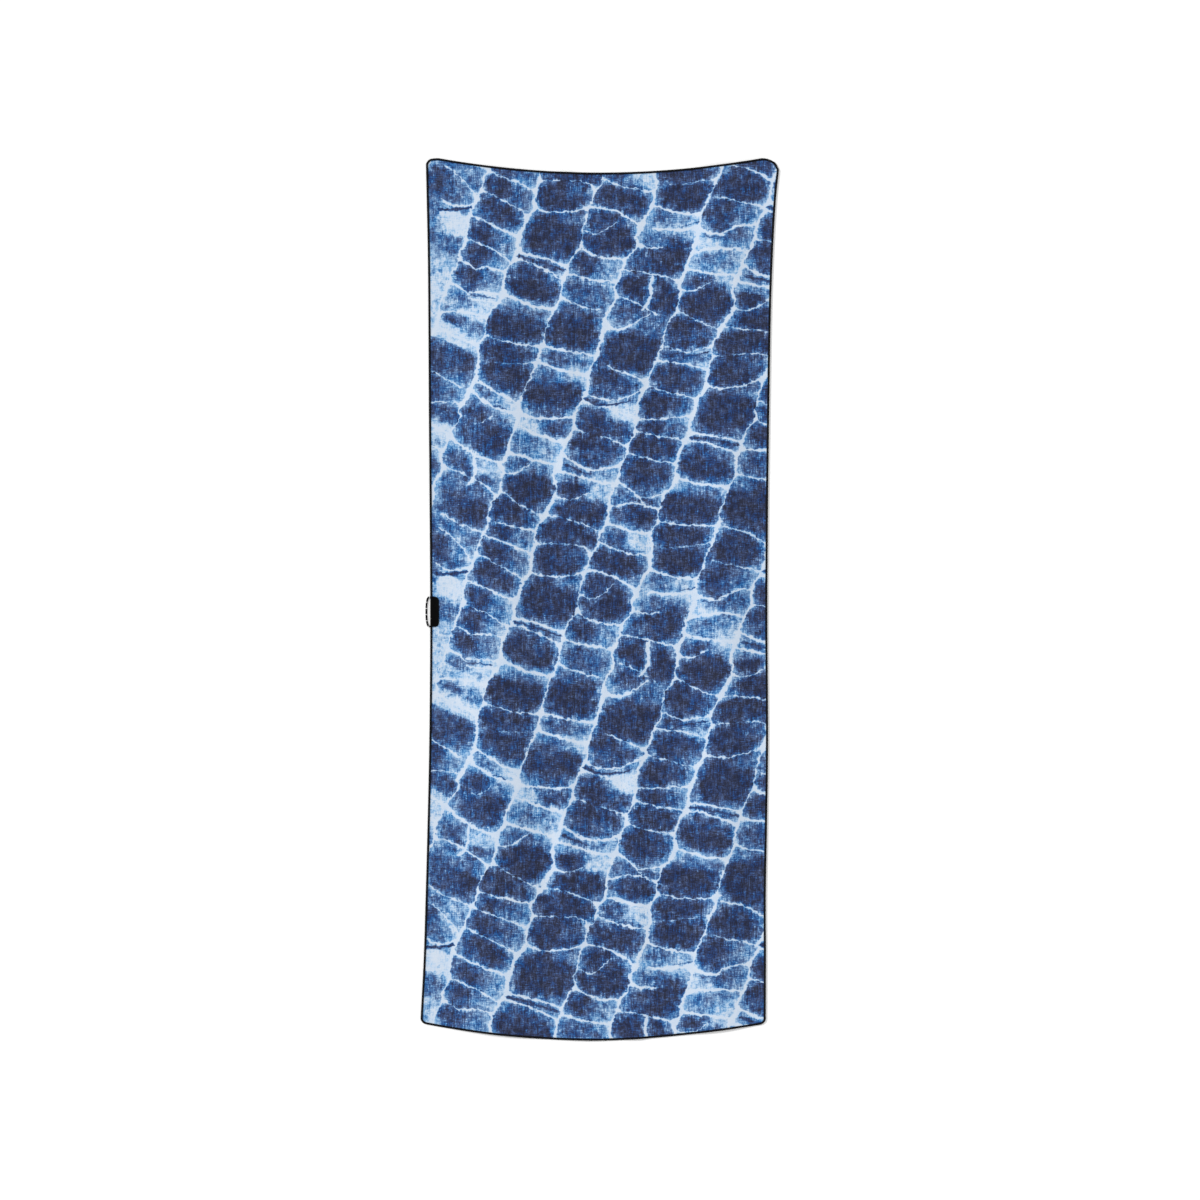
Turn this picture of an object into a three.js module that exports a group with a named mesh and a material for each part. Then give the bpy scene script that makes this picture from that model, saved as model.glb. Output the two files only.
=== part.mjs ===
// Travel towel lying face up: one panel of thin towelling with soft lengthwise swells,
// a narrow edging folded over its rim, a side patch and a hang loop.
// Millimetres, +Z up, +X towards the right edge, +Y towards the end that sags between its corners.

import * as THREE from 'three';

// Driving dimensions of the panel
const LENGTH = 1840; // along the middle, from edge to edge
const CLOTH_THICK = 1.6;
const RIM_THICK = 1.0; // the panel where the edging pinches it
const CORNER_RADIUS = 10;
const GAP = 0.3; // between neighbouring pieces

// The long edges, measured from the middle line; y runs from the middle of the length
const LONG_EDGES = [
  { y: -872, left: -380, right: 351.5 },
  { y: -749, left: -373.5, right: 352 },
  { y: -622, left: -369.5, right: 351.5 },
  { y: -474, left: -365.5, right: 354 },
  { y: -283, left: -361.5, right: 356.5 },
  { y: -28, left: -359.5, right: 355 },
  { y: 226, left: -361, right: 356.5 },
  { y: 417, left: -362.5, right: 359 },
  { y: 608, left: -363.5, right: 362 },
  { y: 735, left: -364.5, right: 366 },
  { y: 862, left: -367, right: 373 },
  { y: 930, left: -368.5, right: 380 },
];

// The two ends bow about the middle; the top corners droop past the span
const TOP_END = { sag: 30.5, span: 342, droopLeft: 8, droopRight: 17, droopReach: 38 };
const BOTTOM_END = { bulge: 38, spanLeft: 385, powerLeft: 2, spanRight: 366, powerRight: 1.6 };

// Lengthwise swells: the crest's x, its slant per mm of y, half its width, its rise, and where along y it
// fades out
const SWELLS = [
  { name: 'left roll', x: -212, slant: 0.006, half: 118, rise: 9, from: -1180, to: 1080, fade: 620 },
  { name: 'right roll', x: 262, slant: 0.012, half: 84, rise: 7.5, from: -1150, to: 1150, fade: 560 },
  { name: 'left crease', x: -72, slant: 0.004, half: 34, rise: 2.6, from: -1000, to: 1300, fade: 400 },
  { name: 'right crease', x: 74, slant: -0.004, half: 34, rise: 2.4, from: -1300, to: 1000, fade: 400 },
  { name: 'foot ripple', x: -140, slant: -0.12, half: 58, rise: 4, from: -1020, to: -420, fade: 260 },
  { name: 'head ripple', x: 150, slant: 0.1, half: 52, rise: 3.5, from: 420, to: 1060, fade: 260 },
];

// Lines of the panel's mesh: three close to each edge, then even ones
const COLUMNS = 38;
const ROWS = 38;
const MARGIN_LINES = [0, 4, 10];

// Edging, a tape folded over the rim
const EDGING = { width: 4, leg: 0.5, wall: 0.8, chamfer: 0.5 };

// Side patch, sewn over the edging and the panel at the left edge
const PATCH = { width: 18, length: 64, middle: -11, thick: 1.2, radius: 8, stepAt: 4.4 };
const PATCH_FLAT_LINES = [20, 32, 44];

// Hang loop, a cord held at both ends beside the patch
const LOOP = { diameter: 2.8, reach: 8.4, half: 31, stub: 1, power: 2.6, sides: 8, bends: 13, steps: 34 };

// Derived heights, from the underside of the cloth where it lies flat
const EDGING_THICK = RIM_THICK + 2 * (GAP + EDGING.leg);
const RIM_LIFT = EDGING.leg + GAP;
const RIM_INSET = GAP + EDGING.wall;

const COLOURS = { cloth: 0x44628f, edging: 0x12131a, patch: 0x101114, loop: 0x18191c };

// A smooth curve through one named column of a table with a y column, held straight past its ends
function curveThrough(table, column) {
  const slope = (k) => {
    const low = table[Math.max(k - 1, 0)];
    const high = table[Math.min(k + 1, table.length - 1)];
    return (high[column] - low[column]) / (high.y - low.y);
  };
  return (y) => {
    if (y <= table[0].y) return table[0][column] + slope(0) * (y - table[0].y);
    const last = table.length - 1;
    if (y >= table[last].y) return table[last][column] + slope(last) * (y - table[last].y);
    const k = table.findIndex((row) => row.y > y) - 1;
    const step = table[k + 1].y - table[k].y;
    const t = (y - table[k].y) / step;
    const bend = t * t * (3 - 2 * t);
    const startPull = t * (1 - t) * (1 - t) * step * slope(k);
    const endPull = t * t * (t - 1) * step * slope(k + 1);
    return table[k][column] * (1 - bend) + table[k + 1][column] * bend + startPull + endPull;
  };
}

const outerLeft = curveThrough(LONG_EDGES, 'left');
const outerRight = curveThrough(LONG_EDGES, 'right');

function outerTop(x) {
  const { sag, span, droopLeft, droopRight, droopReach } = TOP_END;
  const rise = sag * Math.min(Math.abs(x) / span, 1) ** 2;
  const past = Math.max(Math.abs(x) - span, 0) / droopReach;
  return LENGTH / 2 + rise - (x < 0 ? droopLeft : droopRight) * past ** 2;
}

function outerBottom(x) {
  const { bulge, spanLeft, powerLeft, spanRight, powerRight } = BOTTOM_END;
  const share = x < 0 ? (-x / spanLeft) ** powerLeft : (x / spanRight) ** powerRight;
  return -LENGTH / 2 + bulge * share;
}

// How far the cloth's underside is lifted off what it lies on
function lift(x, y) {
  const smooth = (t) => {
    const c = THREE.MathUtils.clamp(t, 0, 1);
    return c * c * (3 - 2 * c);
  };
  return SWELLS.reduce((height, swell) => {
    const off = Math.abs(x - swell.x - swell.slant * y) / swell.half;
    if (off >= 1) return height;
    const across = 0.5 + 0.5 * Math.cos(Math.PI * off);
    const along = smooth((y - swell.from) / swell.fade) * smooth((swell.to - y) / swell.fade);
    return height + swell.rise * across * along;
  }, 0);
}

// The distance of mesh line i from the first edge of a span
function lineAt(i, count, span) {
  const inner = MARGIN_LINES.length - 1;
  if (i < inner) return MARGIN_LINES[i];
  if (i > count - inner) return span - MARGIN_LINES[count - i];
  const margin = MARGIN_LINES[inner];
  return margin + ((span - 2 * margin) * (i - inner)) / (count - 2 * inner);
}

// Moves a point at distances a and b from two edges so that their corner is round
function roundCorner(a, b, radius) {
  if (a >= radius || b >= radius) return [a, b];
  const p = 1 - a / radius;
  const q = 1 - b / radius;
  return [radius * (1 - p * Math.sqrt(1 - (q * q) / 2)), radius * (1 - q * Math.sqrt(1 - (p * p) / 2))];
}

function meshFrom(name, positions, faces, colour) {
  const geometry = new THREE.BufferGeometry();
  geometry.setAttribute('position', new THREE.Float32BufferAttribute(positions.flat(), 3));
  geometry.setIndex(faces.flat());
  geometry.computeVertexNormals();
  const material = new THREE.MeshStandardMaterial({ color: colour, roughness: 0.9, metalness: 0 });
  const mesh = new THREE.Mesh(geometry, material);
  mesh.name = name;
  return mesh;
}

const quad = (a, b, c, d) => [a, b, c, a, c, d];

// A closed sheet on a grid: pointAt(i, j) gives x, y and the heights of the two faces
function sheetMesh(name, columns, rows, pointAt, colour) {
  const positions = [];
  const layer = (columns + 1) * (rows + 1);
  for (const face of ['under', 'over']) {
    for (let j = 0; j <= rows; j += 1) {
      for (let i = 0; i <= columns; i += 1) {
        const point = pointAt(i, j);
        positions.push([point.x, point.y, point[face]]);
      }
    }
  }
  const under = (i, j) => j * (columns + 1) + i;
  const over = (i, j) => layer + under(i, j);
  const faces = [];
  for (let j = 0; j < rows; j += 1) {
    for (let i = 0; i < columns; i += 1) {
      faces.push(quad(over(i, j), over(i + 1, j), over(i + 1, j + 1), over(i, j + 1)));
      faces.push(quad(under(i, j), under(i, j + 1), under(i + 1, j + 1), under(i + 1, j)));
    }
  }
  for (let i = 0; i < columns; i += 1) {
    faces.push(quad(under(i, 0), under(i + 1, 0), over(i + 1, 0), over(i, 0)));
    faces.push(quad(under(i + 1, rows), under(i, rows), over(i, rows), over(i + 1, rows)));
  }
  for (let j = 0; j < rows; j += 1) {
    faces.push(quad(under(0, j + 1), under(0, j), over(0, j), over(0, j + 1)));
    faces.push(quad(under(columns, j), under(columns, j + 1), over(columns, j + 1), over(columns, j)));
  }
  return meshFrom(name, positions, faces, colour);
}

// A point of the panel: its plan comes from the outline, its height from the swells and the pinched rim
function clothPoint(i, j) {
  const endX = (y) => {
    const left = outerLeft(y) + RIM_INSET;
    return left + lineAt(i, COLUMNS, outerRight(y) - RIM_INSET - left);
  };
  const bottom = outerBottom(endX(LONG_EDGES[0].y)) + RIM_INSET;
  const top = outerTop(endX(LONG_EDGES[LONG_EDGES.length - 1].y)) - RIM_INSET;
  const fromLeft = i < COLUMNS / 2;
  const fromBottom = j < ROWS / 2;
  const sideDistance = MARGIN_LINES[fromLeft ? i : COLUMNS - i] ?? Infinity;
  const endDistance = MARGIN_LINES[fromBottom ? j : ROWS - j] ?? Infinity;
  const [side, end] = roundCorner(sideDistance, endDistance, CORNER_RADIUS);

  let y = bottom + lineAt(j, ROWS, top - bottom);
  if (end < Infinity) y = fromBottom ? bottom + end : top - end;
  const left = outerLeft(y) + RIM_INSET;
  const right = outerRight(y) - RIM_INSET;
  let x = left + lineAt(i, COLUMNS, right - left);
  if (side < Infinity) x = fromLeft ? left + side : right - side;

  const held = MARGIN_LINES[1]; // the edging holds the cloth level out to here
  const base = lift(
    THREE.MathUtils.clamp(x, left + held, right - held),
    THREE.MathUtils.clamp(y, bottom + held, top - held),
  );
  const pinched = Math.min(sideDistance, endDistance) <= held;
  const under = base + (pinched ? RIM_LIFT : 0);
  return { x, y, under, over: under + (pinched ? RIM_THICK : CLOTH_THICK), base };
}

// The panel's rim, once round counter-clockwise from the bottom left corner
function rimPoints() {
  const points = [];
  for (let i = 0; i < COLUMNS; i += 1) points.push(clothPoint(i, 0));
  for (let j = 0; j < ROWS; j += 1) points.push(clothPoint(COLUMNS, j));
  for (let i = COLUMNS; i > 0; i -= 1) points.push(clothPoint(i, ROWS));
  for (let j = ROWS; j > 0; j -= 1) points.push(clothPoint(0, j));
  return points;
}

// The edging's section: outwards from the rim, and up from the middle of the rim's thickness
function edgingSection() {
  const outer = RIM_INSET;
  const inner = outer - EDGING.width;
  const half = EDGING_THICK / 2;
  const slot = half - EDGING.leg;
  return [
    [inner, -half],
    [outer - EDGING.chamfer, -half],
    [outer, EDGING.chamfer - half],
    [outer, half - EDGING.chamfer],
    [outer - EDGING.chamfer, half],
    [inner, half],
    [inner, slot],
    [GAP, slot],
    [GAP, -slot],
    [inner, -slot],
  ];
}

function edgingMesh() {
  const rim = rimPoints();
  const section = edgingSection();
  const normalOf = (from, to) => new THREE.Vector2(to.y - from.y, from.x - to.x).normalize();
  const positions = [];
  rim.forEach((point, k) => {
    const before = normalOf(rim[(k + rim.length - 1) % rim.length], point);
    const after = normalOf(point, rim[(k + 1) % rim.length]);
    const out = before.clone().add(after).normalize();
    out.divideScalar(out.dot(after)); // a mitre keeps the tape's width
    for (const [outwards, up] of section) {
      const z = point.base + EDGING_THICK / 2 + up;
      positions.push([point.x + out.x * outwards, point.y + out.y * outwards, z]);
    }
  });
  const at = (k, m) => (k % rim.length) * section.length + (m % section.length);
  const faces = [];
  for (let k = 0; k < rim.length; k += 1) {
    for (let m = 0; m < section.length; m += 1) {
      faces.push(quad(at(k, m), at(k + 1, m), at(k + 1, m + 1), at(k, m + 1)));
    }
  }
  return meshFrom('edge_binding', positions, faces, COLOURS.edging);
}

// The patch steps down from the edging to the cloth
function patchMesh() {
  const { width, length, middle, thick, radius, stepAt } = PATCH;
  const across = [0, stepAt, width - radius, width - radius / 2, width];
  const roundLines = [0, radius / 2, radius];
  const along = [...roundLines, ...PATCH_FLAT_LINES, ...roundLines.map((y) => length - y).reverse()];
  const onEdging = EDGING_THICK + GAP;
  const onCloth = CLOTH_THICK + GAP;
  const pointAt = (i, j) => {
    const end = Math.min(along[j], length - along[j]);
    const [fromRight, fromEnd] = roundCorner(width - across[i], end, radius);
    const inwards = width - fromRight;
    const y = middle + (along[j] < length / 2 ? -length / 2 + fromEnd : length / 2 - fromEnd);
    const down = THREE.MathUtils.smoothstep(inwards, stepAt, width - radius / 2);
    const under = THREE.MathUtils.lerp(onEdging, onCloth, down);
    return { x: outerLeft(y) + inwards, y, under, over: under + thick };
  };
  return sheetMesh('side_patch', across.length - 1, along.length - 1, pointAt, COLOURS.patch);
}

// The loop is half of a rounded oval that stands out from the left edge and lies flat
function loopMesh() {
  const { diameter, reach, half, stub, power, sides, bends, steps } = LOOP;
  const edge = outerLeft(PATCH.middle) - GAP;
  const pointAt = (out, along) => new THREE.Vector3(edge - out, PATCH.middle + along, diameter / 2);
  const points = [pointAt(0, half), pointAt(stub / 2, half)];
  for (let k = 1; k <= bends; k += 1) {
    const angle = (Math.PI * k) / (bends + 1);
    const out = stub + (reach - stub) * Math.sin(angle) ** (2 / power);
    const along = Math.sign(Math.cos(angle)) * half * Math.abs(Math.cos(angle)) ** (2 / power);
    points.push(pointAt(out, along));
  }
  points.push(pointAt(stub / 2, -half), pointAt(0, -half));
  const section = new THREE.Shape();
  for (let k = 0; k < sides; k += 1) {
    const angle = (2 * Math.PI * k) / sides;
    const corner = [(diameter / 2) * Math.cos(angle), (diameter / 2) * Math.sin(angle)];
    if (k === 0) section.moveTo(...corner);
    else section.lineTo(...corner);
  }
  const path = new THREE.CatmullRomCurve3(points, false, 'centripetal');
  const geometry = new THREE.ExtrudeGeometry(section, { steps, extrudePath: path });
  const material = new THREE.MeshStandardMaterial({ color: COLOURS.loop, roughness: 0.8, metalness: 0 });
  const mesh = new THREE.Mesh(geometry, material);
  mesh.name = 'hang_loop';
  return mesh;
}

const towel = new THREE.Group();
towel.add(sheetMesh('towel_cloth', COLUMNS, ROWS, clothPoint, COLOURS.cloth));
towel.add(edgingMesh());
towel.add(patchMesh());
towel.add(loopMesh());

// The origin is under the middle of the whole outline
const outline = new THREE.Box3().setFromObject(towel);
const middle = outline.getCenter(new THREE.Vector3());
towel.position.set(-middle.x, -middle.y, -outline.min.z);
towel.updateMatrixWorld(true);

export default towel;
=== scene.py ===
import math

import bpy
import numpy as np
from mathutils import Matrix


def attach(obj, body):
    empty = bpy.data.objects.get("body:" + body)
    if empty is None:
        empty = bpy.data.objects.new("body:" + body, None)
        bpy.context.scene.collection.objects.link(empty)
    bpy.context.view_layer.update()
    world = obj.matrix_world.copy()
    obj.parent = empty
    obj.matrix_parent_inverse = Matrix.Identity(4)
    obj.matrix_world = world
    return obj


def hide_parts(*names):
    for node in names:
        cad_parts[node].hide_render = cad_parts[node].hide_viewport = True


# Travel towel lying face up: a thin printed towelling sheet in soft lengthwise swells, an overlocked edging,
# a bare side patch and a twisted cord hang loop. Metres, +Z up from the printed face.
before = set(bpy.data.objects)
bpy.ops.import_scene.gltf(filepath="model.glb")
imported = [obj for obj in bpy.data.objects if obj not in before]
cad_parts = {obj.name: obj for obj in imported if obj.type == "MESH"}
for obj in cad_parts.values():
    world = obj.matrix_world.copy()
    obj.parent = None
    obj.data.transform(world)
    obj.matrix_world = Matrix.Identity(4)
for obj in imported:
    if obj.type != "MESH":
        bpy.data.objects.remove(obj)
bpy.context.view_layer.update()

# The panel, with the same driving sizes as its solid. Its own middle lies at PANEL_MIDDLE in the frame.
PANEL_MIDDLE = np.array([0.000352, -0.015107])
LENGTH = 1.840
CLOTH_THICK = 0.0016
RIM_THICK = 0.0010
CORNER_RADIUS = 0.010
GAP = 0.0003
# y along the length, then the left and right edges from the middle line
LONG_EDGES = [
    (-0.872, -0.3800, 0.3515),
    (-0.749, -0.3735, 0.3520),
    (-0.622, -0.3695, 0.3515),
    (-0.474, -0.3655, 0.3540),
    (-0.283, -0.3615, 0.3565),
    (-0.028, -0.3595, 0.3550),
    (0.226, -0.3610, 0.3565),
    (0.417, -0.3625, 0.3590),
    (0.608, -0.3635, 0.3620),
    (0.735, -0.3645, 0.3660),
    (0.862, -0.3670, 0.3730),
    (0.930, -0.3685, 0.3800),
]
TOP_END = {"sag": 0.0305, "span": 0.342, "droop_left": 0.008, "droop_right": 0.017, "droop_reach": 0.038}
BOTTOM_END = {"bulge": 0.038, "span_left": 0.385, "power_left": 2, "span_right": 0.366, "power_right": 1.6}
# Lengthwise swells: the crest's x, its slant per metre of y, half its width, its rise, where it runs from and
# to along y, and over what length it fades
SWELLS = [
    ("left roll", -0.212, 0.006, 0.118, 0.0090, -1.180, 1.080, 0.620),
    ("right roll", 0.262, 0.012, 0.084, 0.0075, -1.150, 1.150, 0.560),
    ("left crease", -0.072, 0.004, 0.034, 0.0026, -1.000, 1.300, 0.400),
    ("right crease", 0.074, -0.004, 0.034, 0.0024, -1.300, 1.000, 0.400),
    ("foot ripple", -0.140, -0.120, 0.058, 0.0040, -1.020, -0.420, 0.260),
    ("head ripple", 0.150, 0.100, 0.052, 0.0035, 0.420, 1.060, 0.260),
]
# Small creases: the middle's x and y, its heading in degrees from the length, half its length and width, and
# its rise, below zero for a trough
CREASES = [
    ("left fold line", -0.110, -0.060, 1.0, 0.520, 0.010, 0.0008),
    ("right fold line", 0.112, 0.150, -1.5, 0.480, 0.009, 0.0007),
    ("middle trough", 0.004, -0.220, 0.5, 0.420, 0.014, 0.0006),
    ("cross fold", 0.020, 0.016, 89.0, 0.260, 0.009, 0.0006),
    ("foot pucker", -0.260, -0.780, 28.0, 0.090, 0.012, 0.0009),
    ("foot drag", 0.230, -0.760, -22.0, 0.110, 0.014, 0.0010),
    ("head drag", -0.240, 0.790, -24.0, 0.120, 0.015, 0.0010),
    ("head pucker", 0.290, 0.800, 30.0, 0.090, 0.012, 0.0009),
    ("side pull", -0.310, 0.060, 62.0, 0.050, 0.010, 0.0007),
    ("low pull", -0.300, -0.110, 118.0, 0.045, 0.009, 0.0006),
]
# Each crease wanders aside as it runs: how far, and how many radians of a sine on each half of it
CREASE_BOW = {"by": 0.006, "run": 2.3}
# Puckers along the edging: their rise, how soon they die away inwards, and a short, a middle and a long wave.
# The long wave moves the short one to and fro, and the short and middle ones share the rise.
PUCKER = {
    "rise": 0.00035,
    "reach": 0.013,
    "waves": (0.021, 0.034, 0.087),
    "moved": 1.4,
    "shares": (0.6, 0.4),
    "middle_start": 0.7,
}

# The edging's width, and how thick its legs and its outer wall are. Its oval nose is as deep as a share of
# its half thickness. Its legs run level to a shoulder, so far inside the middle of the width, and then slope
# down a little to their free ends.
EDGING = {"width": 0.0046, "leg": 0.0005, "wall": 0.0008, "nose": 0.8, "shoulder": 0.0006, "slope": 0.0001}
EDGING_THICK = RIM_THICK + 2 * (GAP + EDGING["leg"])
RIM_LIFT = EDGING["leg"] + GAP
RIM_INSET = GAP + EDGING["wall"]
# Its stitches: their pitch, their ridges' rise, how many pitches they slant by in the edging's width, and the
# mesh lines in a pitch. Then how far and over what length their spacing drifts, and the part of a half turn
# of sine that their rise follows from one leg's free end to the other's.
STITCH = {
    "pitch": 0.0032,
    "rise": 0.00017,
    "slant": 0.55,
    "samples": 4,
    "drift": 0.12,
    "drift_over": 0.041,
    "rise_span": (0.15, 0.85),
}

# The patch: its plan, where along y its middle is, its thickness, the radius of its corners on the cloth and
# of those at the edge, and how far in it starts to step down from the edging to the cloth
PATCH = {
    "width": 0.018,
    "length": 0.064,
    "middle": -0.011,
    "thick": 0.0012,
    "radius": 0.008,
    "edge_radius": 0.0012,
    "step": 0.0044,
}
# Its rounded rim's width and the share of its thickness that stands at the very rim, then how far its inner
# side bulges, with a power that puts the fullest part a little below the middle
PATCH_FINISH = {"rim": 0.0009, "rim_share": 0.45, "bulge": 0.0008, "bulge_power": 0.8}
# Distances of its mesh lines from a rim, then the counts of lines on round a corner and between the corners
PATCH_RIM_LINES = np.array([0, 0.0002, 0.0005, 0.0009, 0.0013, 0.0016, 0.0019, 0.0022, 0.0025])
PATCH_MESH = {"corner": 7, "across": 6, "along": 26}

# The hang loop's cord, pressed flat: its width and height, how far out its middle line stands and half its
# length along the edge, how far out its oval starts, the power of that oval, and how far its ends go inwards
LOOP = {
    "width": 0.0038,
    "height": 0.0017,
    "reach": 0.0081,
    "half": 0.031,
    "stub": 0.001,
    "power": 2.6,
    "tuck": 0.0022,
}
# Its twist: the run of one turn, the strands, and the grooves between them, with their depth as a share of
# the cord. Then a fleck's run, how far it leans as it goes round, and a place midway between two flecks.
CORD_TWIST = {
    "lay": 0.0131,
    "strands": 3,
    "groove": 0.17,
    "groove_power": 0.7,
    "fleck": 0.0011,
    "fleck_lean": 0.0006,
    "between": 0.0105,
}
LOOP_MESH = {"oval_points": 121, "rings": 260, "sides": 24, "smoothings": 6}

# Mesh lines of the panel: these distances from each edge, then even ones
MARGIN_LINES = np.array([0.0, 0.0013, 0.0027, 0.004, 0.0053, 0.0067, 0.0083, 0.010])
PANEL_COLUMNS = 146
PANEL_ROWS = 330
# The edging holds the cloth level over HELD from its rim, and the pinch eases off over SETTLE from there
HELD = 0.004
SETTLE = 0.005


def smooth(t):
    """Smoothstep: 3 t squared less 2 t cubed, level outside 0 to 1."""
    c = np.clip(t, 0.0, 1.0)
    return c * c * (3.0 - 2.0 * c)


def curve_through(rows, column):
    """A function of y: cubic Hermite pieces through a table's points, each slope that of the line between the
    two neighbours, and straight on past both ends."""
    at = np.array([row[0] for row in rows])
    value = np.array([row[column] for row in rows])
    slope = np.empty_like(value)
    slope[1:-1] = (value[2:] - value[:-2]) / (at[2:] - at[:-2])
    slope[0] = (value[1] - value[0]) / (at[1] - at[0])
    slope[-1] = (value[-1] - value[-2]) / (at[-1] - at[-2])

    def curve(y):
        inside = np.clip(y, at[0], at[-1])
        k = np.clip(np.searchsorted(at, inside, side="right") - 1, 0, len(at) - 2)
        step = at[k + 1] - at[k]
        t = (inside - at[k]) / step
        bend = t * t * (3 - 2 * t)
        pull = step * (t * (1 - t) ** 2 * slope[k] + t * t * (t - 1) * slope[k + 1])
        before = np.where(y < at[0], slope[0] * (y - at[0]), 0)
        after = np.where(y > at[-1], slope[-1] * (y - at[-1]), 0)
        return value[k] * (1 - bend) + value[k + 1] * bend + pull + before + after

    return curve


outer_left = curve_through(LONG_EDGES, 1)
outer_right = curve_through(LONG_EDGES, 2)


def outer_top(x):
    """The sagging end: its height grows with the square of x up to the span, and droops past it."""
    rise = TOP_END["sag"] * np.minimum(np.abs(x) / TOP_END["span"], 1) ** 2
    past = np.maximum(np.abs(x) - TOP_END["span"], 0) / TOP_END["droop_reach"]
    return LENGTH / 2 + rise - np.where(x < 0, TOP_END["droop_left"], TOP_END["droop_right"]) * past**2


def outer_bottom(x):
    """The bulging end: a power of x on each side of the middle."""
    left = (np.maximum(-x, 0) / BOTTOM_END["span_left"]) ** BOTTOM_END["power_left"]
    right = (np.maximum(x, 0) / BOTTOM_END["span_right"]) ** BOTTOM_END["power_right"]
    return -LENGTH / 2 + BOTTOM_END["bulge"] * (left + right)


def lift(x, y):
    """Height of the underside: the sum of the swells, each a raised cosine across its slanting crest times a
    smoothstep at both of its ends."""
    height = np.zeros_like(x)
    for _, crest, slant, half, rise, start, stop, fade in SWELLS:
        off = np.minimum(np.abs(x - crest - slant * y) / half, 1)
        across = 0.5 + 0.5 * np.cos(np.pi * off)
        height += rise * across * smooth((y - start) / fade) * smooth((stop - y) / fade)
    return height


def creases(x, y):
    """Small folds: each a squared cosine bump across its line times a squared cosine along it."""
    height = np.zeros_like(x)
    for _, middle_x, middle_y, heading, half_length, half_width, rise in CREASES:
        turn = math.radians(heading)
        across = (x - middle_x) * math.cos(turn) - (y - middle_y) * math.sin(turn)
        along = (x - middle_x) * math.sin(turn) + (y - middle_y) * math.cos(turn)
        bow = CREASE_BOW["by"] * np.sin(along / half_length * CREASE_BOW["run"])
        off = np.minimum(np.abs(across - bow) / half_width, 1)
        run = np.minimum(np.abs(along) / half_length, 1)
        height += rise * np.cos(np.pi / 2 * off) ** 2 * np.cos(np.pi / 2 * run) ** 2
    return height


def puckers(along, inwards):
    """Ripples that the edging draws into the cloth: sines along the edge, dying away inwards."""
    short, middle, long = PUCKER["waves"]
    short_share, middle_share = PUCKER["shares"]
    wave = np.sin(2 * np.pi * along / short + PUCKER["moved"] * np.sin(2 * np.pi * along / long))
    other = np.sin(2 * np.pi * along / middle + PUCKER["middle_start"])
    wave = short_share * wave + middle_share * other
    return PUCKER["rise"] * wave * np.exp(-np.maximum(inwards - HELD, 0) / PUCKER["reach"])


def mesh_line(k, count, span):
    """The distance of mesh line k from the first edge of a span."""
    inner = len(MARGIN_LINES) - 1
    even = MARGIN_LINES[-1] + (span - 2 * MARGIN_LINES[-1]) * (k - inner) / (count - 2 * inner)
    near = MARGIN_LINES[np.minimum(k, inner)]
    far = span - MARGIN_LINES[np.minimum(count - k, inner)]
    return np.where(k < inner, near, np.where(k > count - inner, far, even))


def edge_distance(k, count):
    """The distance of mesh line k from its nearer edge in the margin, and infinity in the middle."""
    nearer = np.minimum(k, count - k)
    inner = len(MARGIN_LINES) - 1
    return np.where(nearer <= inner, MARGIN_LINES[np.minimum(nearer, inner)], np.inf)


def round_corner(a, b, radius):
    """Moves points at distances a and b from two edges so that their corner is round: the square corner's
    coordinates are mapped to a disc's."""
    inside = (a < radius) & (b < radius)
    p = np.where(inside, 1 - a / radius, 0)
    q = np.where(inside, 1 - b / radius, 0)
    new_a = radius * (1 - p * np.sqrt(1 - q * q / 2))
    new_b = radius * (1 - q * np.sqrt(1 - p * p / 2))
    return np.where(inside, new_a, a), np.where(inside, new_b, b)


def panel_grid():
    """The panel's plan and height on a grid of rows and columns: straight lines of the mesh follow the bowed
    edges, the corners are round, and the rim is pinched where the edging holds it."""
    i, j = np.meshgrid(np.arange(PANEL_COLUMNS + 1), np.arange(PANEL_ROWS + 1))

    def x_between(y, k):
        left = outer_left(y) + RIM_INSET
        return left + mesh_line(k, PANEL_COLUMNS, outer_right(y) - RIM_INSET - left)

    low = outer_bottom(x_between(np.full(i.shape, LONG_EDGES[0][0]), i)) + RIM_INSET
    high = outer_top(x_between(np.full(i.shape, LONG_EDGES[-1][0]), i)) - RIM_INSET
    side, end = round_corner(edge_distance(i, PANEL_COLUMNS), edge_distance(j, PANEL_ROWS), CORNER_RADIUS)
    y = low + mesh_line(j, PANEL_ROWS, high - low)
    y = np.where(np.isfinite(end), np.where(j < PANEL_ROWS / 2, low + end, high - end), y)
    left, right = outer_left(y) + RIM_INSET, outer_right(y) - RIM_INSET
    x = left + mesh_line(i, PANEL_COLUMNS, right - left)
    x = np.where(np.isfinite(side), np.where(i < PANEL_COLUMNS / 2, left + side, right - side), x)

    base = lift(np.clip(x, left + HELD, right - HELD), np.clip(y, low + HELD, high - HELD))
    rim = np.minimum(edge_distance(i, PANEL_COLUMNS), edge_distance(j, PANEL_ROWS))
    pinch = 1 - smooth((rim - HELD) / SETTLE)
    to_side = np.minimum(x - left, right - x)
    to_end = np.minimum(y - low, high - y)
    drawn = puckers(y, to_side) + puckers(x, to_end)
    under = np.maximum(base + (1 - pinch) * (creases(x, y) + drawn), 0) + RIM_LIFT * pinch
    over = under + CLOTH_THICK - (CLOTH_THICK - RIM_THICK) * pinch
    x = x + PANEL_MIDDLE[0]
    y = y + PANEL_MIDDLE[1]
    return np.stack([x, y, under], -1), np.stack([x, y, over], -1), base


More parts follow.
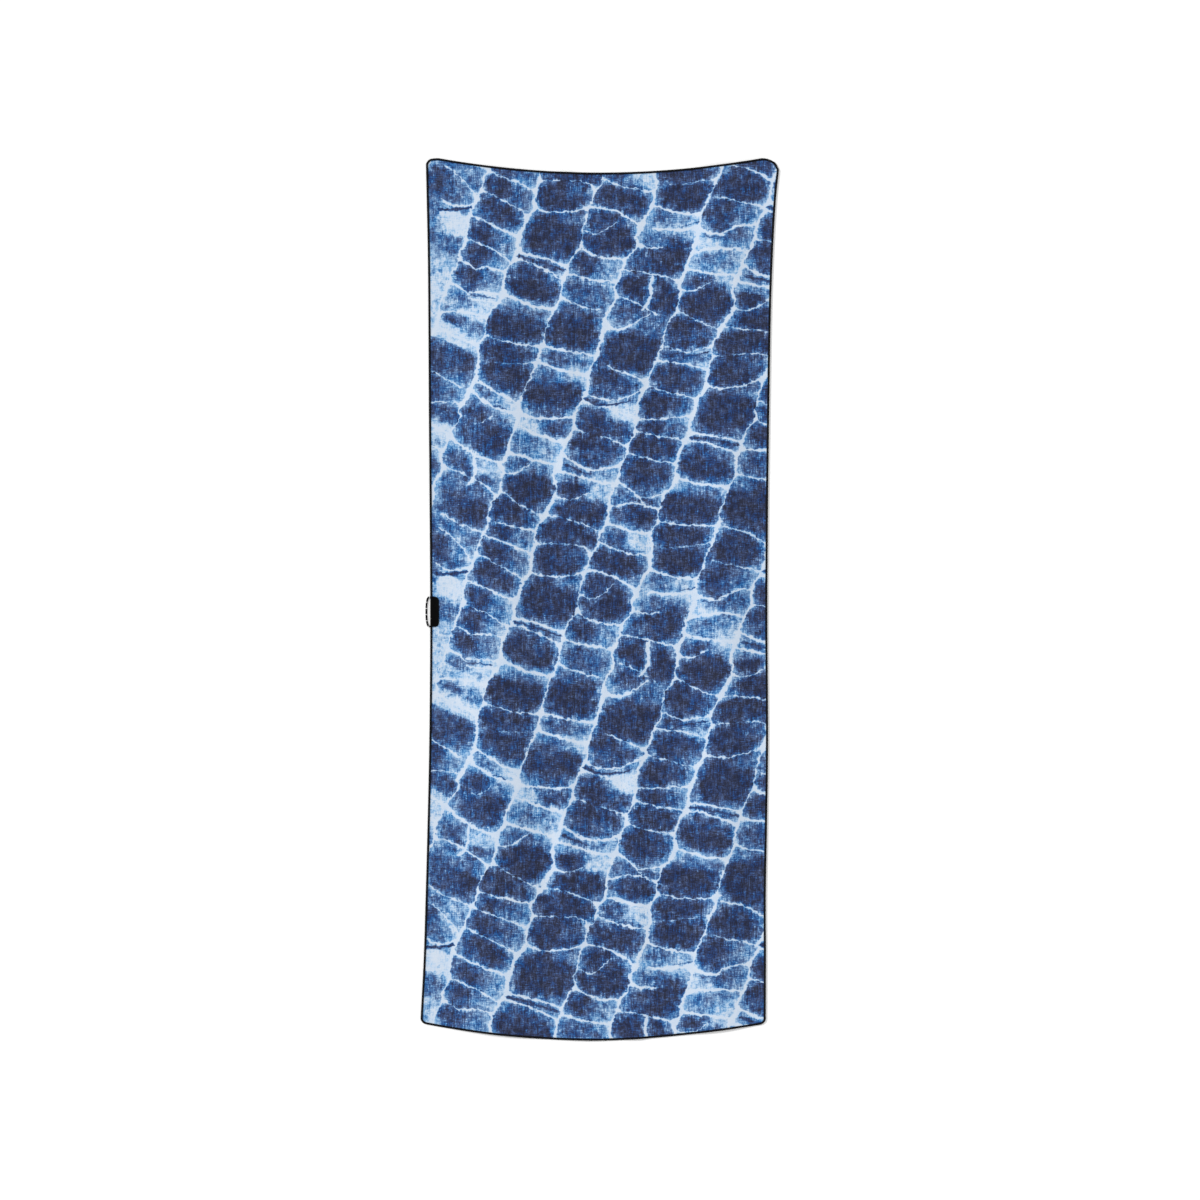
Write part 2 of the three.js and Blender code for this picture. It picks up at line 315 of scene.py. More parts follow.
def quads_of(rows, columns, first=0, close_rows=False, close_columns=False):
    """Corner numbers of a grid's faces, anticlockwise seen from its front. A closed grid's last row or column
    is joined to its first."""
    row_starts = np.arange(rows if close_rows else rows - 1)
    column_starts = np.arange(columns if close_columns else columns - 1)
    j, i = np.meshgrid(row_starts, column_starts, indexing="ij")
    next_j, next_i = (j + 1) % rows, (i + 1) % columns
    corners = [j * columns + i, j * columns + next_i, next_j * columns + next_i, next_j * columns + i]
    return first + np.stack(corners, -1).reshape(-1, 4)


def make_piece(name, points, faces, materials, face_materials=None, sheet_map=None):
    """A smooth mesh object at the origin from whole arrays. A sheet map gives each vertex its (u, v)."""
    mesh = bpy.data.meshes.new(name)
    points = np.asarray(points, np.float32).reshape(-1, 3)
    faces = np.asarray(faces, np.int32)
    mesh.vertices.add(len(points))
    mesh.vertices.foreach_set("co", points.ravel())
    mesh.loops.add(faces.size)
    mesh.loops.foreach_set("vertex_index", faces.ravel())
    mesh.polygons.add(len(faces))
    mesh.polygons.foreach_set("loop_start", np.arange(0, faces.size, faces.shape[1], dtype=np.int32))
    mesh.polygons.foreach_set("use_smooth", np.ones(len(faces), bool))
    for material in materials:
        mesh.materials.append(material)
    if face_materials is not None:
        mesh.polygons.foreach_set("material_index", np.asarray(face_materials, np.int32))
    mesh.update(calc_edges=True)
    if sheet_map is not None:
        layer = mesh.uv_layers.new(name="run")
        layer.data.foreach_set("uv", np.asarray(sheet_map, np.float32).reshape(-1, 2)[faces.ravel()].ravel())
    mesh.validate()
    piece = bpy.data.objects.new(name, mesh)
    bpy.context.scene.collection.objects.link(piece)
    return piece


def rim_strip(rows, columns, layer):
    """Faces that close a sheet of two layers round its rim."""
    bottom = np.arange(columns)
    right = np.arange(rows) * columns + columns - 1
    top = (rows - 1) * columns + np.arange(columns)[::-1]
    left = np.arange(rows)[::-1] * columns
    ring = np.concatenate([bottom[:-1], right[:-1], top[:-1], left[:-1]])
    after = np.roll(ring, -1)
    return np.stack([ring, after, after + layer, ring + layer], -1)


def sheet_piece(name, under, over, face_material, back_material):
    """A closed sheet from its two surfaces: the face looks up and the back down, joined by a strip."""
    rows, columns = over.shape[:2]
    layer = rows * columns
    back = quads_of(rows, columns)[:, ::-1]
    face = quads_of(rows, columns, first=layer)
    strip = rim_strip(rows, columns, layer)
    faces = np.concatenate([back, face, strip])
    slots = np.concatenate([np.ones(len(back)), np.zeros(len(face) + len(strip))])
    points = np.concatenate([under.reshape(-1, 3), over.reshape(-1, 3)])
    return make_piece(name, points, faces, [face_material, back_material], slots)


class Wiring:
    """Places nodes in one tree. A value is a socket, which is linked, or a number or tuple, which is set."""

    def __init__(self, tree):
        self.tree = tree

    def node(self, kind, values=None, **settings):
        made = self.tree.nodes.new(kind)
        for name, setting in settings.items():
            setattr(made, name, setting)
        for socket, value in (values or {}).items():
            if isinstance(value, bpy.types.NodeSocket):
                self.tree.links.new(value, made.inputs[socket])
            else:
                made.inputs[socket].default_value = value
        return made

    def math(self, operation, *values, clamp=False):
        values = dict(enumerate(values))
        return self.node("ShaderNodeMath", values, operation=operation, use_clamp=clamp).outputs[0]

    def vector(self, operation, *values):
        return self.node("ShaderNodeVectorMath", dict(enumerate(values)), operation=operation).outputs[0]

    def join(self, x, y, z=0.0):
        return self.node("ShaderNodeCombineXYZ", {0: x, 1: y, 2: z}).outputs[0]

    def split(self, vector):
        return self.node("ShaderNodeSeparateXYZ", {0: vector}).outputs

    def mix(self, share, a, b):
        return self.node("ShaderNodeMix", {0: share, 2: a, 3: b}, data_type="FLOAT").outputs[0]

    def ramp(self, value, low, high, to_low=0.0, to_high=1.0):
        values = {0: value, 1: low, 2: high, 3: to_low, 4: to_high}
        return self.node("ShaderNodeMapRange", values, interpolation_type="SMOOTHSTEP").outputs[0]

    def noise(self, vector, scale, detail=2.0, roughness=0.5, output="Fac"):
        values = {"Vector": vector, "Scale": scale, "Detail": detail, "Roughness": roughness}
        return self.node("ShaderNodeTexNoise", values).outputs[output]

    def stretched_noise(self, vector, stretch, detail=2.0):
        return self.noise(self.vector("MULTIPLY", vector, stretch), 1.0, detail)

    def uneven(self, value, noise, by):
        """Value moved up and down by a noise that lies about a half."""
        return self.math("MULTIPLY_ADD", self.math("SUBTRACT", noise, 0.5), by, value)

    def float_curve(self, share, points, clip):
        """A curve through (place, height) points, the first of them at nought and the last at one."""
        made = self.node("ShaderNodeFloatCurve", {"Value": share})
        made.mapping.use_clip = clip
        line = made.mapping.curves[0]
        line.points[0].location = points[0]
        line.points[1].location = points[-1]
        for at, height in points[1:-1]:
            line.points.new(at, height)
        made.mapping.update()
        return made.outputs[0]

    def curve(self, value, points, span):
        """A curve of value over 0 to span through (at, height) points, which ends as high as it starts."""
        share = self.math("DIVIDE", value, span)
        start = points[0][1]
        inner = [(at / span, height) for at, height in points[1:]]
        return self.float_curve(share, [(0.0, start), *inner, (1.0, start)], clip=False)

    def part_curve(self, value, points):
        """A curve through points that don't start at nought: level before the first and past the last."""
        first, last = points[0][0], points[-1][0]
        share = self.node("ShaderNodeMapRange", {0: value, 1: first, 2: last}).outputs[0]
        placed = [((at - first) / (last - first), height) for at, height in points]
        return self.float_curve(share, placed, clip=True)


def node_group(name, inputs, outputs):
    """A shader group with named sockets: (name, kind, default) going in and (name, kind) coming out."""
    tree = bpy.data.node_groups.new(name, "ShaderNodeTree")
    for label, kind, default in inputs:
        socket = tree.interface.new_socket(label, in_out="INPUT", socket_type=kind)
        if default is not None:
            socket.default_value = default
    for label, kind in outputs:
        tree.interface.new_socket(label, in_out="OUTPUT", socket_type=kind)
    wiring = Wiring(tree)
    return wiring, wiring.node("NodeGroupInput").outputs, wiring.node("NodeGroupOutput").inputs


def use_group(wiring, group, values):
    return wiring.node("ShaderNodeGroup", values, node_tree=group).outputs


# The print: a net of pale cracks round deep indigo cells, as folding and tying leaves on dyed cloth. It has
# leaning columns, two kinds by turns. Each kind repeats down the towel, and each pair of columns starts lower
# than the pair to its left. The chart below was laid out in steps of CHART_STEP, and its values were
# then corrected by comparing how light its renders and the photograph are, place by place.
CHART_STEP = 0.00212
REPEAT = 552
PAIR_DROP = 367
# The columns' width, and how far they lean across for each metre along
COLUMN_PITCH = 0.1238
PITCH_STEPS = COLUMN_PITCH / CHART_STEP
COLUMN_LEAN = 0.318
# Where on the chart the frame's origin lies, in columns across and steps down
COLUMN_START = 0.418
CHART_START = 297.5
# One chart holds all the strokes: the odd columns' lie ODD_SHIFT lower, and the side edges' own SIDE_SHIFT
# lower. A stroke within EDGE_REACH of either end of a repeat also has a copy at the other end.
ODD_SHIFT = 1000
SIDE_SHIFT = 2000
EDGE_REACH = 26
# A crack's border lies a share of its charted half width from its middle, moved by some steps. The paler glow
# round it reaches further the wider the crack is.
CRACK_BORDER = (0.57, 0.0)
GLOW_BORDER = (2.1, -3.0)
SLIT_BORDER = (1.0, 0.0)
# Over how many steps a long crack and a cross crack run together, and over how many their glows do
CRACK_JOIN = 9.0
GLOW_JOIN = 26.0
# Past its charted ends a stroke runs out to a point: how much its half width shrinks with each step
STROKE_POINT = 0.6
# The cloth is drawn out a little towards the foot, bowed as its ends are, more on the left, and pulled aside
# near its head and at the foot's left corner
FOOT_STRETCH = {"even": 0.9935, "growth": -3.5e-5}
BOW = {"rise_left": 0.036, "rise_right": 0.020, "change": 0.1, "half": 0.355, "power": 3.0}
HEAD_PULL = {"from_y": 0.42, "over_y": 0.50, "by": 0.0125}
CORNER_PULL = {"from_x": -0.085, "over_x": 0.235, "from_y": -0.340, "over_y": 0.300, "by": 0.024}

# The long cracks on the left of each kind of column: steps down the chart, shift across in column widths, and
# half the crack's width in steps
EVEN_LONG_CRACK = [
    (0, 0.11, 1.6), (10, 0.13, 1.8), (18, 0.07, 1.3), (30, 0.05, 1.2), (44, 0.11, 1.8), (52, 0.08, 1.2),
    (60, 0.055, 1.5), (75, 0.05, 2.2), (88, 0.035, 3.0), (100, 0.005, 3.0), (115, 0.06, 2.2),
    (132, 0.10, 2.0), (140, 0.07, 2.0), (155, 0.09, 1.9), (165, 0.055, 2.2), (182, 0.065, 2.5),
    (200, 0.05, 2.0), (215, 0.12, 2.6), (223, 0.14, 3.5), (232, 0.08, 2.2), (246, 0.085, 1.2),
    (254, 0.025, 1.2), (268, 0.02, 2.2), (285, 0.02, 1.8), (300, 0.05, 1.2), (308, 0.09, 2.0),
    (316, 0.035, 1.5), (336, 0.0, 2.4), (355, 0.03, 2.0), (362, 0.05, 2.2), (382, 0.015, 1.5),
    (400, 0.005, 1.5), (410, 0.04, 2.8), (420, 0.05, 3.0), (440, 0.02, 1.6), (455, 0.0, 1.6),
    (470, -0.02, 2.4), (480, 0.01, 3.0), (489, 0.05, 4.0), (499, 0.03, 2.5), (512, 0.02, 2.8),
    (522, 0.05, 3.0), (532, 0.02, 3.5), (541, 0.07, 2.5),
]
ODD_LONG_CRACK = [
    (0, 0.045, 2.0), (10, 0.07, 2.2), (22, 0.02, 4.0), (32, 0.0, 3.6), (45, -0.05, 1.8), (58, 0.0, 2.0),
    (76, 0.03, 2.2), (87, 0.06, 3.0), (98, 0.01, 3.5), (124, 0.01, 3.5), (136, 0.045, 3.2),
    (155, -0.02, 2.2), (166, 0.0, 2.2), (181, 0.06, 4.0), (190, 0.01, 3.2), (202, -0.06, 1.6),
    (214, -0.045, 1.4), (223, -0.02, 2.0), (230, -0.06, 2.0), (245, 0.03, 3.0), (256, 0.06, 3.0),
    (266, 0.08, 3.2), (283, 0.03, 3.6), (292, 0.03, 4.0), (300, -0.02, 2.5), (306, 0.04, 2.0),
    (314, 0.02, 1.8), (322, -0.05, 2.4), (340, -0.06, 2.2), (350, -0.075, 2.5), (364, 0.01, 3.0),
    (374, -0.03, 2.8), (382, -0.05, 3.2), (390, -0.02, 5.0), (398, 0.0, 3.2), (420, 0.015, 2.8),
    (443, 0.01, 2.2), (453, 0.04, 2.6), (463, 0.03, 2.2), (479, -0.01, 2.2), (495, 0.02, 2.0),
    (512, -0.02, 2.0), (520, -0.04, 2.6), (527, 0.0, 4.0), (537, -0.05, 3.0), (546, -0.02, 3.2),
]
# Cross cracks: across from and to, in column widths; steps down at its start, middle and end; half its width
# in steps at its start and end
EVEN_CROSS_CRACKS = [
    (0.00, 1.00, 8, 20, 31, 0.8, 1.3),
    (0.08, 0.62, 44, 49, 52, 1.2, 1.7),
    (0.60, 1.00, 50, 49, 46, 1.1, 1.6),
    (0.00, 1.00, 59, 62, 70, 1.6, 1.6),
    (0.08, 1.00, 85, 92, 99, 0.8, 1.4),
    (0.00, 1.00, 117, 117, 116, 1.0, 1.7),
    (0.00, 1.00, 129, 135, 140, 0.9, 1.8),
    (0.00, 1.00, 151, 158, 162, 1.1, 1.3),
    (0.03, 0.66, 181, 190, 201, 2.0, 1.8),
    (0.55, 1.00, 196, 195, 193, 1.2, 2.0),
    (0.00, 1.00, 207, 202, 210, 1.8, 1.6),
    (0.10, 1.00, 223, 229, 233, 2.6, 3.2),
    (0.05, 1.00, 241, 250, 254, 1.2, 2.0),
    (0.00, 1.00, 269, 275, 291, 1.4, 2.6),
    (0.08, 0.53, 293, 296, 283, 1.1, 1.3),
    (0.00, 1.00, 309, 320, 322, 1.4, 2.5),
    (0.00, 1.00, 337, 343, 346, 2.0, 2.2),
    (0.05, 0.82, 362, 370, 374, 1.5, 1.2),
    (0.00, 1.00, 410, 416, 419, 2.4, 1.6),
    (0.00, 1.00, 427, 435, 440, 2.4, 3.2),
    (0.00, 1.00, 481, 484, 482, 2.8, 2.0),
    (0.15, 1.00, 495, 503, 508, 2.6, 3.0),
    (0.00, 1.00, 520, 526, 532, 2.4, 2.6),
    (0.00, 0.47, 541, 541, 531, 1.8, 1.6),
]
ODD_CROSS_CRACKS = [
    (0.06, 0.60, 10, 13, 6, 1.3, 1.4),
    (0.00, 1.00, 29, 35, 47, 1.1, 1.0),
    (0.00, 0.70, 58, 57, 59, 0.8, 0.7),
    (0.62, 1.00, 58, 61, 69, 1.2, 2.0),
    (0.00, 1.00, 86, 90, 85, 1.3, 1.8),
    (0.00, 1.00, 133, 138, 146, 2.4, 1.8),
    (0.00, 1.00, 140, 146, 159, 1.6, 2.0),
    (0.00, 1.00, 176, 185, 189, 2.4, 2.8),
    (0.00, 1.00, 220, 225, 227, 1.0, 1.9),
    (0.15, 1.00, 247, 246, 243, 0.2, 0.6),
    (0.00, 1.00, 267, 275, 279, 1.8, 2.6),
    (0.22, 1.00, 291, 293, 292, 2.6, 3.6),
    (0.02, 0.46, 308, 311, 311, 2.0, 1.4),
    (0.02, 1.00, 333, 338, 346, 1.1, 1.9),
    (0.10, 0.74, 361, 369, 380, 1.3, 1.1),
    (0.00, 0.60, 389, 393, 379, 3.6, 2.0),
    (0.20, 1.00, 430, 438, 447, 0.9, 2.4),
    (0.00, 0.96, 457, 465, 455, 1.8, 2.0),
    (0.00, 1.00, 467, 473, 485, 2.0, 2.4),
    (0.50, 1.00, 502, 506, 512, 1.0, 1.4),
    (0.00, 0.28, 494, 496, 499, 1.2, 0.8),
    (0.00, 1.00, 518, 534, 530, 2.4, 2.6),
    (0.00, 1.00, 534, 544, 550, 2.4, 2.8),
]
# Near the side edges the print isn't a repeat of the rest. Past these rows at the left edge, counted on down
# the columns, and in RIGHT_ROWS above row nought of the even columns at the right edge, it follows tables of
# its own.
EVEN_TURN = {"from": 575, "slope": 15}
ODD_TURN = {"from": 803, "slope": 10}
RIGHT_ROWS = 142
EVEN_SIDE_CRACKS = [
    (0.10, 1.00, -137, -129, -114, 1.4, 1.5),
    (0.12, 0.95, -105, -98, -90, 0.9, 1.6),
    (0.00, 0.45, -73, -68, -66, 4.0, 2.0),
    (0.40, 1.00, -66, -73, -72, 2.0, 2.2),
    (0.00, 1.00, -49, -52, -46, 4.0, 1.8),
    (0.00, 1.00, -33, -27, -22, 2.4, 2.6),
    (0.00, 0.55, -14, -11, -18, 1.8, 1.4),
    (0.00, 1.00, 589, 594, 597, 1.2, 1.8),
    (0.00, 1.00, 605, 612, 621, 1.3, 1.8),
    (0.00, 1.00, 625, 635, 648, 0.9, 1.6),
    (0.00, 1.00, 653, 661, 669, 1.6, 2.8),
    (0.00, 1.00, 678, 684, 696, 1.1, 1.6),
    (0.00, 0.40, 700, 703, 708, 1.6, 1.3),
    (0.38, 1.00, 707, 704, 707, 1.5, 2.2),
    (0.00, 0.46, 726, 729, 736, 1.8, 2.0),
    (0.40, 1.00, 732, 730, 729, 2.0, 2.2),
    (0.44, 1.00, 738, 738, 738, 1.6, 2.2),
    (0.00, 1.00, 760, 753, 755, 1.8, 3.0),
    (0.00, 1.00, 773, 779, 784, 2.2, 3.4),
    (0.20, 0.85, 820, 824, 830, 0.8, 2.2),
    (0.40, 1.00, 853, 847, 847, 1.2, 1.6),
    (0.55, 1.00, 874, 877, 880, 2.2, 3.0),
    (0.70, 1.00, 896, 897, 897, 1.6, 2.0),
]
ODD_SIDE_CRACKS = [
    (0.00, 1.00, 818, 828, 838, 2.0, 3.2),
    (0.00, 1.00, 829, 842, 847, 2.4, 3.0),
    (0.28, 0.56, 863, 861, 853, 0.9, 1.2),
    (0.05, 1.00, 881, 894, 899, 3.0, 2.4),
    (0.00, 1.00, 913, 917, 934, 1.0, 2.2),
    (0.20, 1.00, 960, 967, 970, 1.4, 1.4),
    (0.25, 0.96, 976, 984, 1001, 1.2, 1.5),
    (0.40, 1.00, 1011, 1014, 1007, 1.9, 2.0),
]
# Lines of deep dye that lie between two close cracks, in the same columns
EVEN_SLITS = [
    (0.12, 0.95, 53, 55, 53, 1.4, 1.0),
]
ODD_SLITS = [
    (0.06, 0.94, 137, 142, 149, 1.6, 1.4),
    (0.06, 0.84, 463, 470, 465, 1.9, 1.3),
    (0.10, 0.54, 530, 535, 539, 1.8, 1.2),
    (0.66, 0.98, 290, 289, 287, 0.3, 0.7),
]
EVEN_SIDE_SLITS = [
    (0.15, 0.45, -66, -64, -63, 0.8, 0.6),
    (0.44, 0.88, 735, 734, 734, 0.8, 0.6),
]
ODD_SIDE_SLITS = [
    (0.56, 0.78, 842, 842, 844, 0.7, 0.7),
    (0.45, 0.95, 1022, 1018, 1013, 2.0, 2.2),
]
# An upright crack in the odd columns: across at its top, middle and bottom; steps down at its top and bottom;
# half its width in steps
ODD_UPRIGHT = {"across": (0.50, 0.555, 0.475), "down": (340, 373), "half": 3.0}

# Along the left edge the dye is held back more: painted light for that brighter margin, partly also paler
# print.
# Where that starts across the cloth, over what width it grows
LEFT_PAINTED_LIGHT_AND_PALER_PRINT = {"from_x": -0.274, "over_x": 0.036, "by": 0.15}

# How far the dye stayed out of the cloth between the cracks: steps down, then the column's left and right.
# The rows lean, by so many steps in a column's width, and left gives way to right between two shares of it.
FADE_LEAN = 11.0
FADE_CHANGE = (0.34, 0.66)
EVEN_FADE = [
    (0, 0.05, 0.05), (18, 0.02, 0.05), (24, 0.05, 0.12), (36, 0.1, 0.3), (42, 0.2, 0.25), (48, 0.04, 0.8),
    (54, 0.12, 0.5), (60, 0.25, 0.75), (66, 0.15, 0.3), (72, 0.12, 0.2), (90, 0.05, 0.35),
    (104, 0.05, 0.25), (112, 0.02, 0.6), (118, 0.06, 0.55), (124, 0.0, 0.45), (132, 0.0, 0.3),
    (140, 0.05, 0.1), (156, 0.05, 0.18), (163, 0.05, 0.22), (178, 0.1, 0.2), (188, 0.33, 0.54),
    (194, 0.4, 0.45), (199, 0.55, 0.05), (205, 0.3, 0.06), (216, 0.25, 0.08), (226, 0.36, 0.12),
    (232, 0.25, 0.83), (240, 0.38, 0.84), (246, 0.38, 0.75), (252, 0.2, 0.1), (274, 0.03, 0.15),
    (282, 0.2, 0.3), (290, 0.24, 0.04), (312, 0.08, 0.06), (320, 0.12, 0.3), (326, 0.08, 0.7),
    (338, 0.2, 0.65), (345, 0.35, 0.55), (360, 0.4, 0.55), (370, 0.4, 0.45), (378, 0.52, 0.2),
    (386, 0.05, 0.05), (408, 0.05, 0.08), (418, 0.15, 0.56), (424, 0.28, 0.55), (432, 0.25, 0.75),
    (440, 0.5, 0.8), (446, 0.45, 0.5), (453, 0.25, 0.1), (464, 0.1, 0.05), (474, 0.4, 0.36),
    (482, 0.48, 0.0), (488, 0.5, 0.36), (496, 0.82, 0.15), (504, 0.62, 0.65), (514, 0.6, 0.75),
    (524, 0.55, 0.75), (530, 0.25, 0.6), (538, 0.52, 0.48), (545, 0.12, 0.08),
]
ODD_FADE = [
    (0, 0.06, 0.8), (8, 0.0, 0.84), (14, 0.08, 0.2), (26, 0.02, 0.05), (36, 0.02, 0.02), (54, 0.12, 0.1),
    (60, 0.02, 0.3), (66, 0.08, 0.38), (84, 0.05, 0.05), (94, 0.02, 0.58), (104, 0.05, 0.08),
    (124, 0.05, 0.1), (136, 0.1, 0.35), (146, 0.15, 0.35), (152, 0.26, 0.36), (172, 0.0, 0.05),
    (182, 0.45, 0.45), (190, 0.55, 0.5), (198, 0.2, 0.1), (204, 0.06, 0.06), (220, 0.1, 0.12),
    (238, 0.1, 0.12), (246, 0.15, 0.2), (252, 0.05, 0.05), (270, 0.0, 0.0), (276, 0.15, 0.7),
    (284, 0.55, 0.75), (292, 0.58, 0.75), (298, 0.52, 0.55), (304, 0.55, 0.25), (310, 0.5, 0.12),
    (316, 0.12, 0.06), (328, 0.42, 0.06), (334, 0.2, 0.04), (342, 0.08, 0.05), (360, 0.0, 0.0),
    (368, 0.08, 0.08), (378, 0.2, 0.4), (388, 0.5, 0.55), (396, 0.36, 0.52), (404, 0.1, 0.1),
    (430, 0.06, 0.06), (440, 0.0, 0.6), (448, 0.1, 0.25), (456, 0.42, 0.38), (463, 0.2, 0.6),
    (469, 0.42, 0.88), (477, 0.2, 0.9), (486, 0.1, 0.42), (494, 0.05, 0.3), (502, 0.02, 0.18),
    (510, 0.0, 0.18), (521, 0.4, 0.45), (528, 0.1, 0.36), (534, 0.25, 0.55), (540, 0.28, 0.68),
    (547, 0.5, 0.7),
]
EVEN_SIDE_FADE = [
    (-142, 0.15, 0.2), (-128, 0.15, 0.15), (-112, 0.05, 0.15), (-100, 0.1, 0.2), (-94, 0.15, 0.55),
    (-84, 0.1, 0.6), (-76, 0.25, 0.4), (-66, 0.15, 0.4), (-60, 0.65, 0.55), (-54, 0.8, 0.45),
    (-50, 0.8, 0.65), (-44, 0.45, 0.7), (-36, 0.7, 0.75), (-30, 0.55, 0.75), (-24, 0.05, 0.75),
    (-18, 0.05, 0.65), (-10, 0.15, 0.15), (0, 0.05, 0.05), (570, 0.05, 0.2), (587, 0.1, 0.2),
    (596, 0.1, 0.4), (606, 0.15, 0.6), (614, 0.1, 0.6), (622, 0.1, 0.4), (634, 0.1, 0.55),
    (646, 0.05, 0.1), (652, 0.35, 0.15), (658, 0.1, 0.2), (670, 0.1, 0.65), (680, 0.15, 0.65),
    (686, 0.1, 0.45), (696, 0.1, 0.75), (703, 0.1, 0.55), (711, 0.05, 0.65), (720, 0.05, 0.65),
    (727, 0.4, 0.7), (733, 0.4, 0.85), (742, 0.4, 0.8), (748, 0.65, 0.8), (754, 0.65, 0.85),
    (760, 0.45, 0.65), (765, 0.15, 0.65), (770, 0.6, 0.7), (778, 0.75, 0.8), (787, 0.7, 0.75),
    (795, 0.15, 0.15), (812, 0.05, 0.3), (826, 0.15, 0.5), (836, 0.05, 0.4), (846, 0.1, 0.4),
    (852, 0.05, 0.15), (864, 0.15, 0.45), (876, 0.5, 0.7), (890, 0.55, 0.6), (897, 0.6, 0.7),
    (903, 0.15, 0.25), (920, 0.55, 0.55),
]
ODD_SIDE_FADE = [
    (790, 0.05, 0.1), (800, 0.1, 0.15), (814, 0.2, 0.15), (822, 0.25, 0.2), (830, 0.4, 0.65),
    (836, 0.4, 0.8), (842, 0.4, 0.8), (848, 0.15, 0.65), (856, 0.25, 0.55), (864, 0.35, 0.15),
    (872, 0.35, 0.05), (886, 0.35, 0.15), (894, 0.4, 0.35), (899, 0.35, 0.75), (905, 0.25, 0.8),
    (910, 0.25, 0.7), (916, 0.3, 0.4), (924, 0.45, 0.4), (932, 0.4, 0.5), (940, 0.2, 0.1),
    (950, 0.2, 0.05), (960, 0.2, 0.2), (968, 0.4, 0.55), (976, 0.35, 0.65), (985, 0.1, 0.6),
    (996, 0.1, 0.6), (1004, 0.15, 0.4), (1012, 0.3, 0.4), (1022, 0.4, 0.9), (1034, 0.5, 0.85),
    (1042, 0.55, 0.65), (1052, 0.35, 0.4), (1062, 0.5, 0.55), (1075, 0.65, 0.7), (1090, 0.7, 0.7),
]


def placed_stroke(stroke, shift):
    """A charted stroke moved down by a shift: its ends across, its middle line as a parabola, and its half
    width as a straight line."""
    start_x, end_x, start, middle, end, start_half, end_half = stroke
    down = np.array([start, middle, end]) + shift
    bend = np.polyfit([start_x, (start_x + end_x) / 2, end_x], down, 2)
    width = np.polyfit([start_x, end_x], [start_half, end_half], 1)
    return (start_x, end_x, *bend, *width)


def chart_strokes(even, odd, even_side, odd_side):
    """Both kinds of column on one chart, the odd ones ODD_SHIFT lower, with a copy one repeat away of each
    stroke that lies close to where the repeat starts or ends. The side edges' own strokes lie SIDE_SHIFT
    lower."""
    placed = []
    for strokes, shift in ((even_side, SIDE_SHIFT), (odd_side, SIDE_SHIFT + ODD_SHIFT)):
        placed += [placed_stroke(stroke, shift) for stroke in strokes]
    for strokes, shift in ((even, 0), (odd, ODD_SHIFT)):
        for stroke in strokes:
            placed.append(placed_stroke(stroke, shift))
            if min(stroke[2:5]) < EDGE_REACH:
                placed.append(placed_stroke(stroke, shift + REPEAT))
            if max(stroke[2:5]) > REPEAT - EDGE_REACH:
                placed.append(placed_stroke(stroke, shift - REPEAT))
    return placed


def nearest_stroke(wiring, strokes, across, down, borders):
    """Steps from a point to the nearest stroke's border, below zero inside it, for each kind of border asked
    for. A stroke's middle line is a parabola across its column, its half width grows evenly, and its ends are
    pointed. Three strokes are worked out at a time, one in each part of a vector."""
    nearest = [None] * len(borders)
    padded = strokes + strokes[:1] * (-len(strokes) % 3)
    for k in range(0, len(padded), 3):
        first, last, square, slope, height, widening, width = np.transpose(padded[k : k + 3])
        held = wiring.vector("MINIMUM", wiring.vector("MAXIMUM", across, first), last)
        line = wiring.vector("MULTIPLY_ADD", wiring.vector("MULTIPLY_ADD", held, square, slope), held, height)
        off = wiring.vector("ABSOLUTE", wiring.vector("SUBTRACT", down, line))
        beyond = wiring.vector("ABSOLUTE", wiring.vector("SUBTRACT", across, held))
        off = wiring.vector("MULTIPLY_ADD", beyond, (STROKE_POINT * PITCH_STEPS,) * 3, off)
        for n, (share, shift) in enumerate(borders):
            border = wiring.vector("MULTIPLY_ADD", held, -share * widening, -share * width - shift)
            border = wiring.vector("ADD", off, border)
            nearest[n] = border if nearest[n] is None else wiring.vector("MINIMUM", nearest[n], border)
    split = [wiring.split(one) for one in nearest]
    return [wiring.math("MINIMUM", wiring.math("MINIMUM", one[0], one[1]), one[2]) for one in split]


def column_place(wiring, across, down):
    """Which column a point is in, and how far down its repeat: the fraction across, one for an odd column and
    nought for an even one, the steps down the chart there and in the column to the right, and the steps
    counted on past the repeats."""
    column = wiring.math("FLOOR", across)
    pair = wiring.math("FLOOR", wiring.math("MULTIPLY", column, 0.5))
    odd = wiring.math("MULTIPLY_ADD", pair, -2.0, column)
    dropped = wiring.math("MULTIPLY_ADD", pair, -float(PAIR_DROP), down)
    here = wiring.math("FLOORED_MODULO", dropped, float(REPEAT))
    right_drop = wiring.math("MULTIPLY_ADD", odd, -float(PAIR_DROP), dropped)
    right = wiring.math("FLOORED_MODULO", right_drop, float(REPEAT))
    return wiring.math("SUBTRACT", across, column), odd, here, right, dropped


def table_column(rows, column):
    """One column of a table against its first, as points of a curve."""
    return [(row[0], row[column]) for row in rows]


def long_cracks(wiring, column, odd, here, right):
    """One column of the two long-crack tables on the left and on the right of a point."""
    even_here = wiring.curve(here, table_column(EVEN_LONG_CRACK, column), REPEAT)
    odd_here = wiring.curve(here, table_column(ODD_LONG_CRACK, column), REPEAT)
    even_right = wiring.curve(right, table_column(EVEN_LONG_CRACK, column), REPEAT)
    return wiring.mix(odd, even_here, odd_here), wiring.mix(odd, odd_here, even_right)


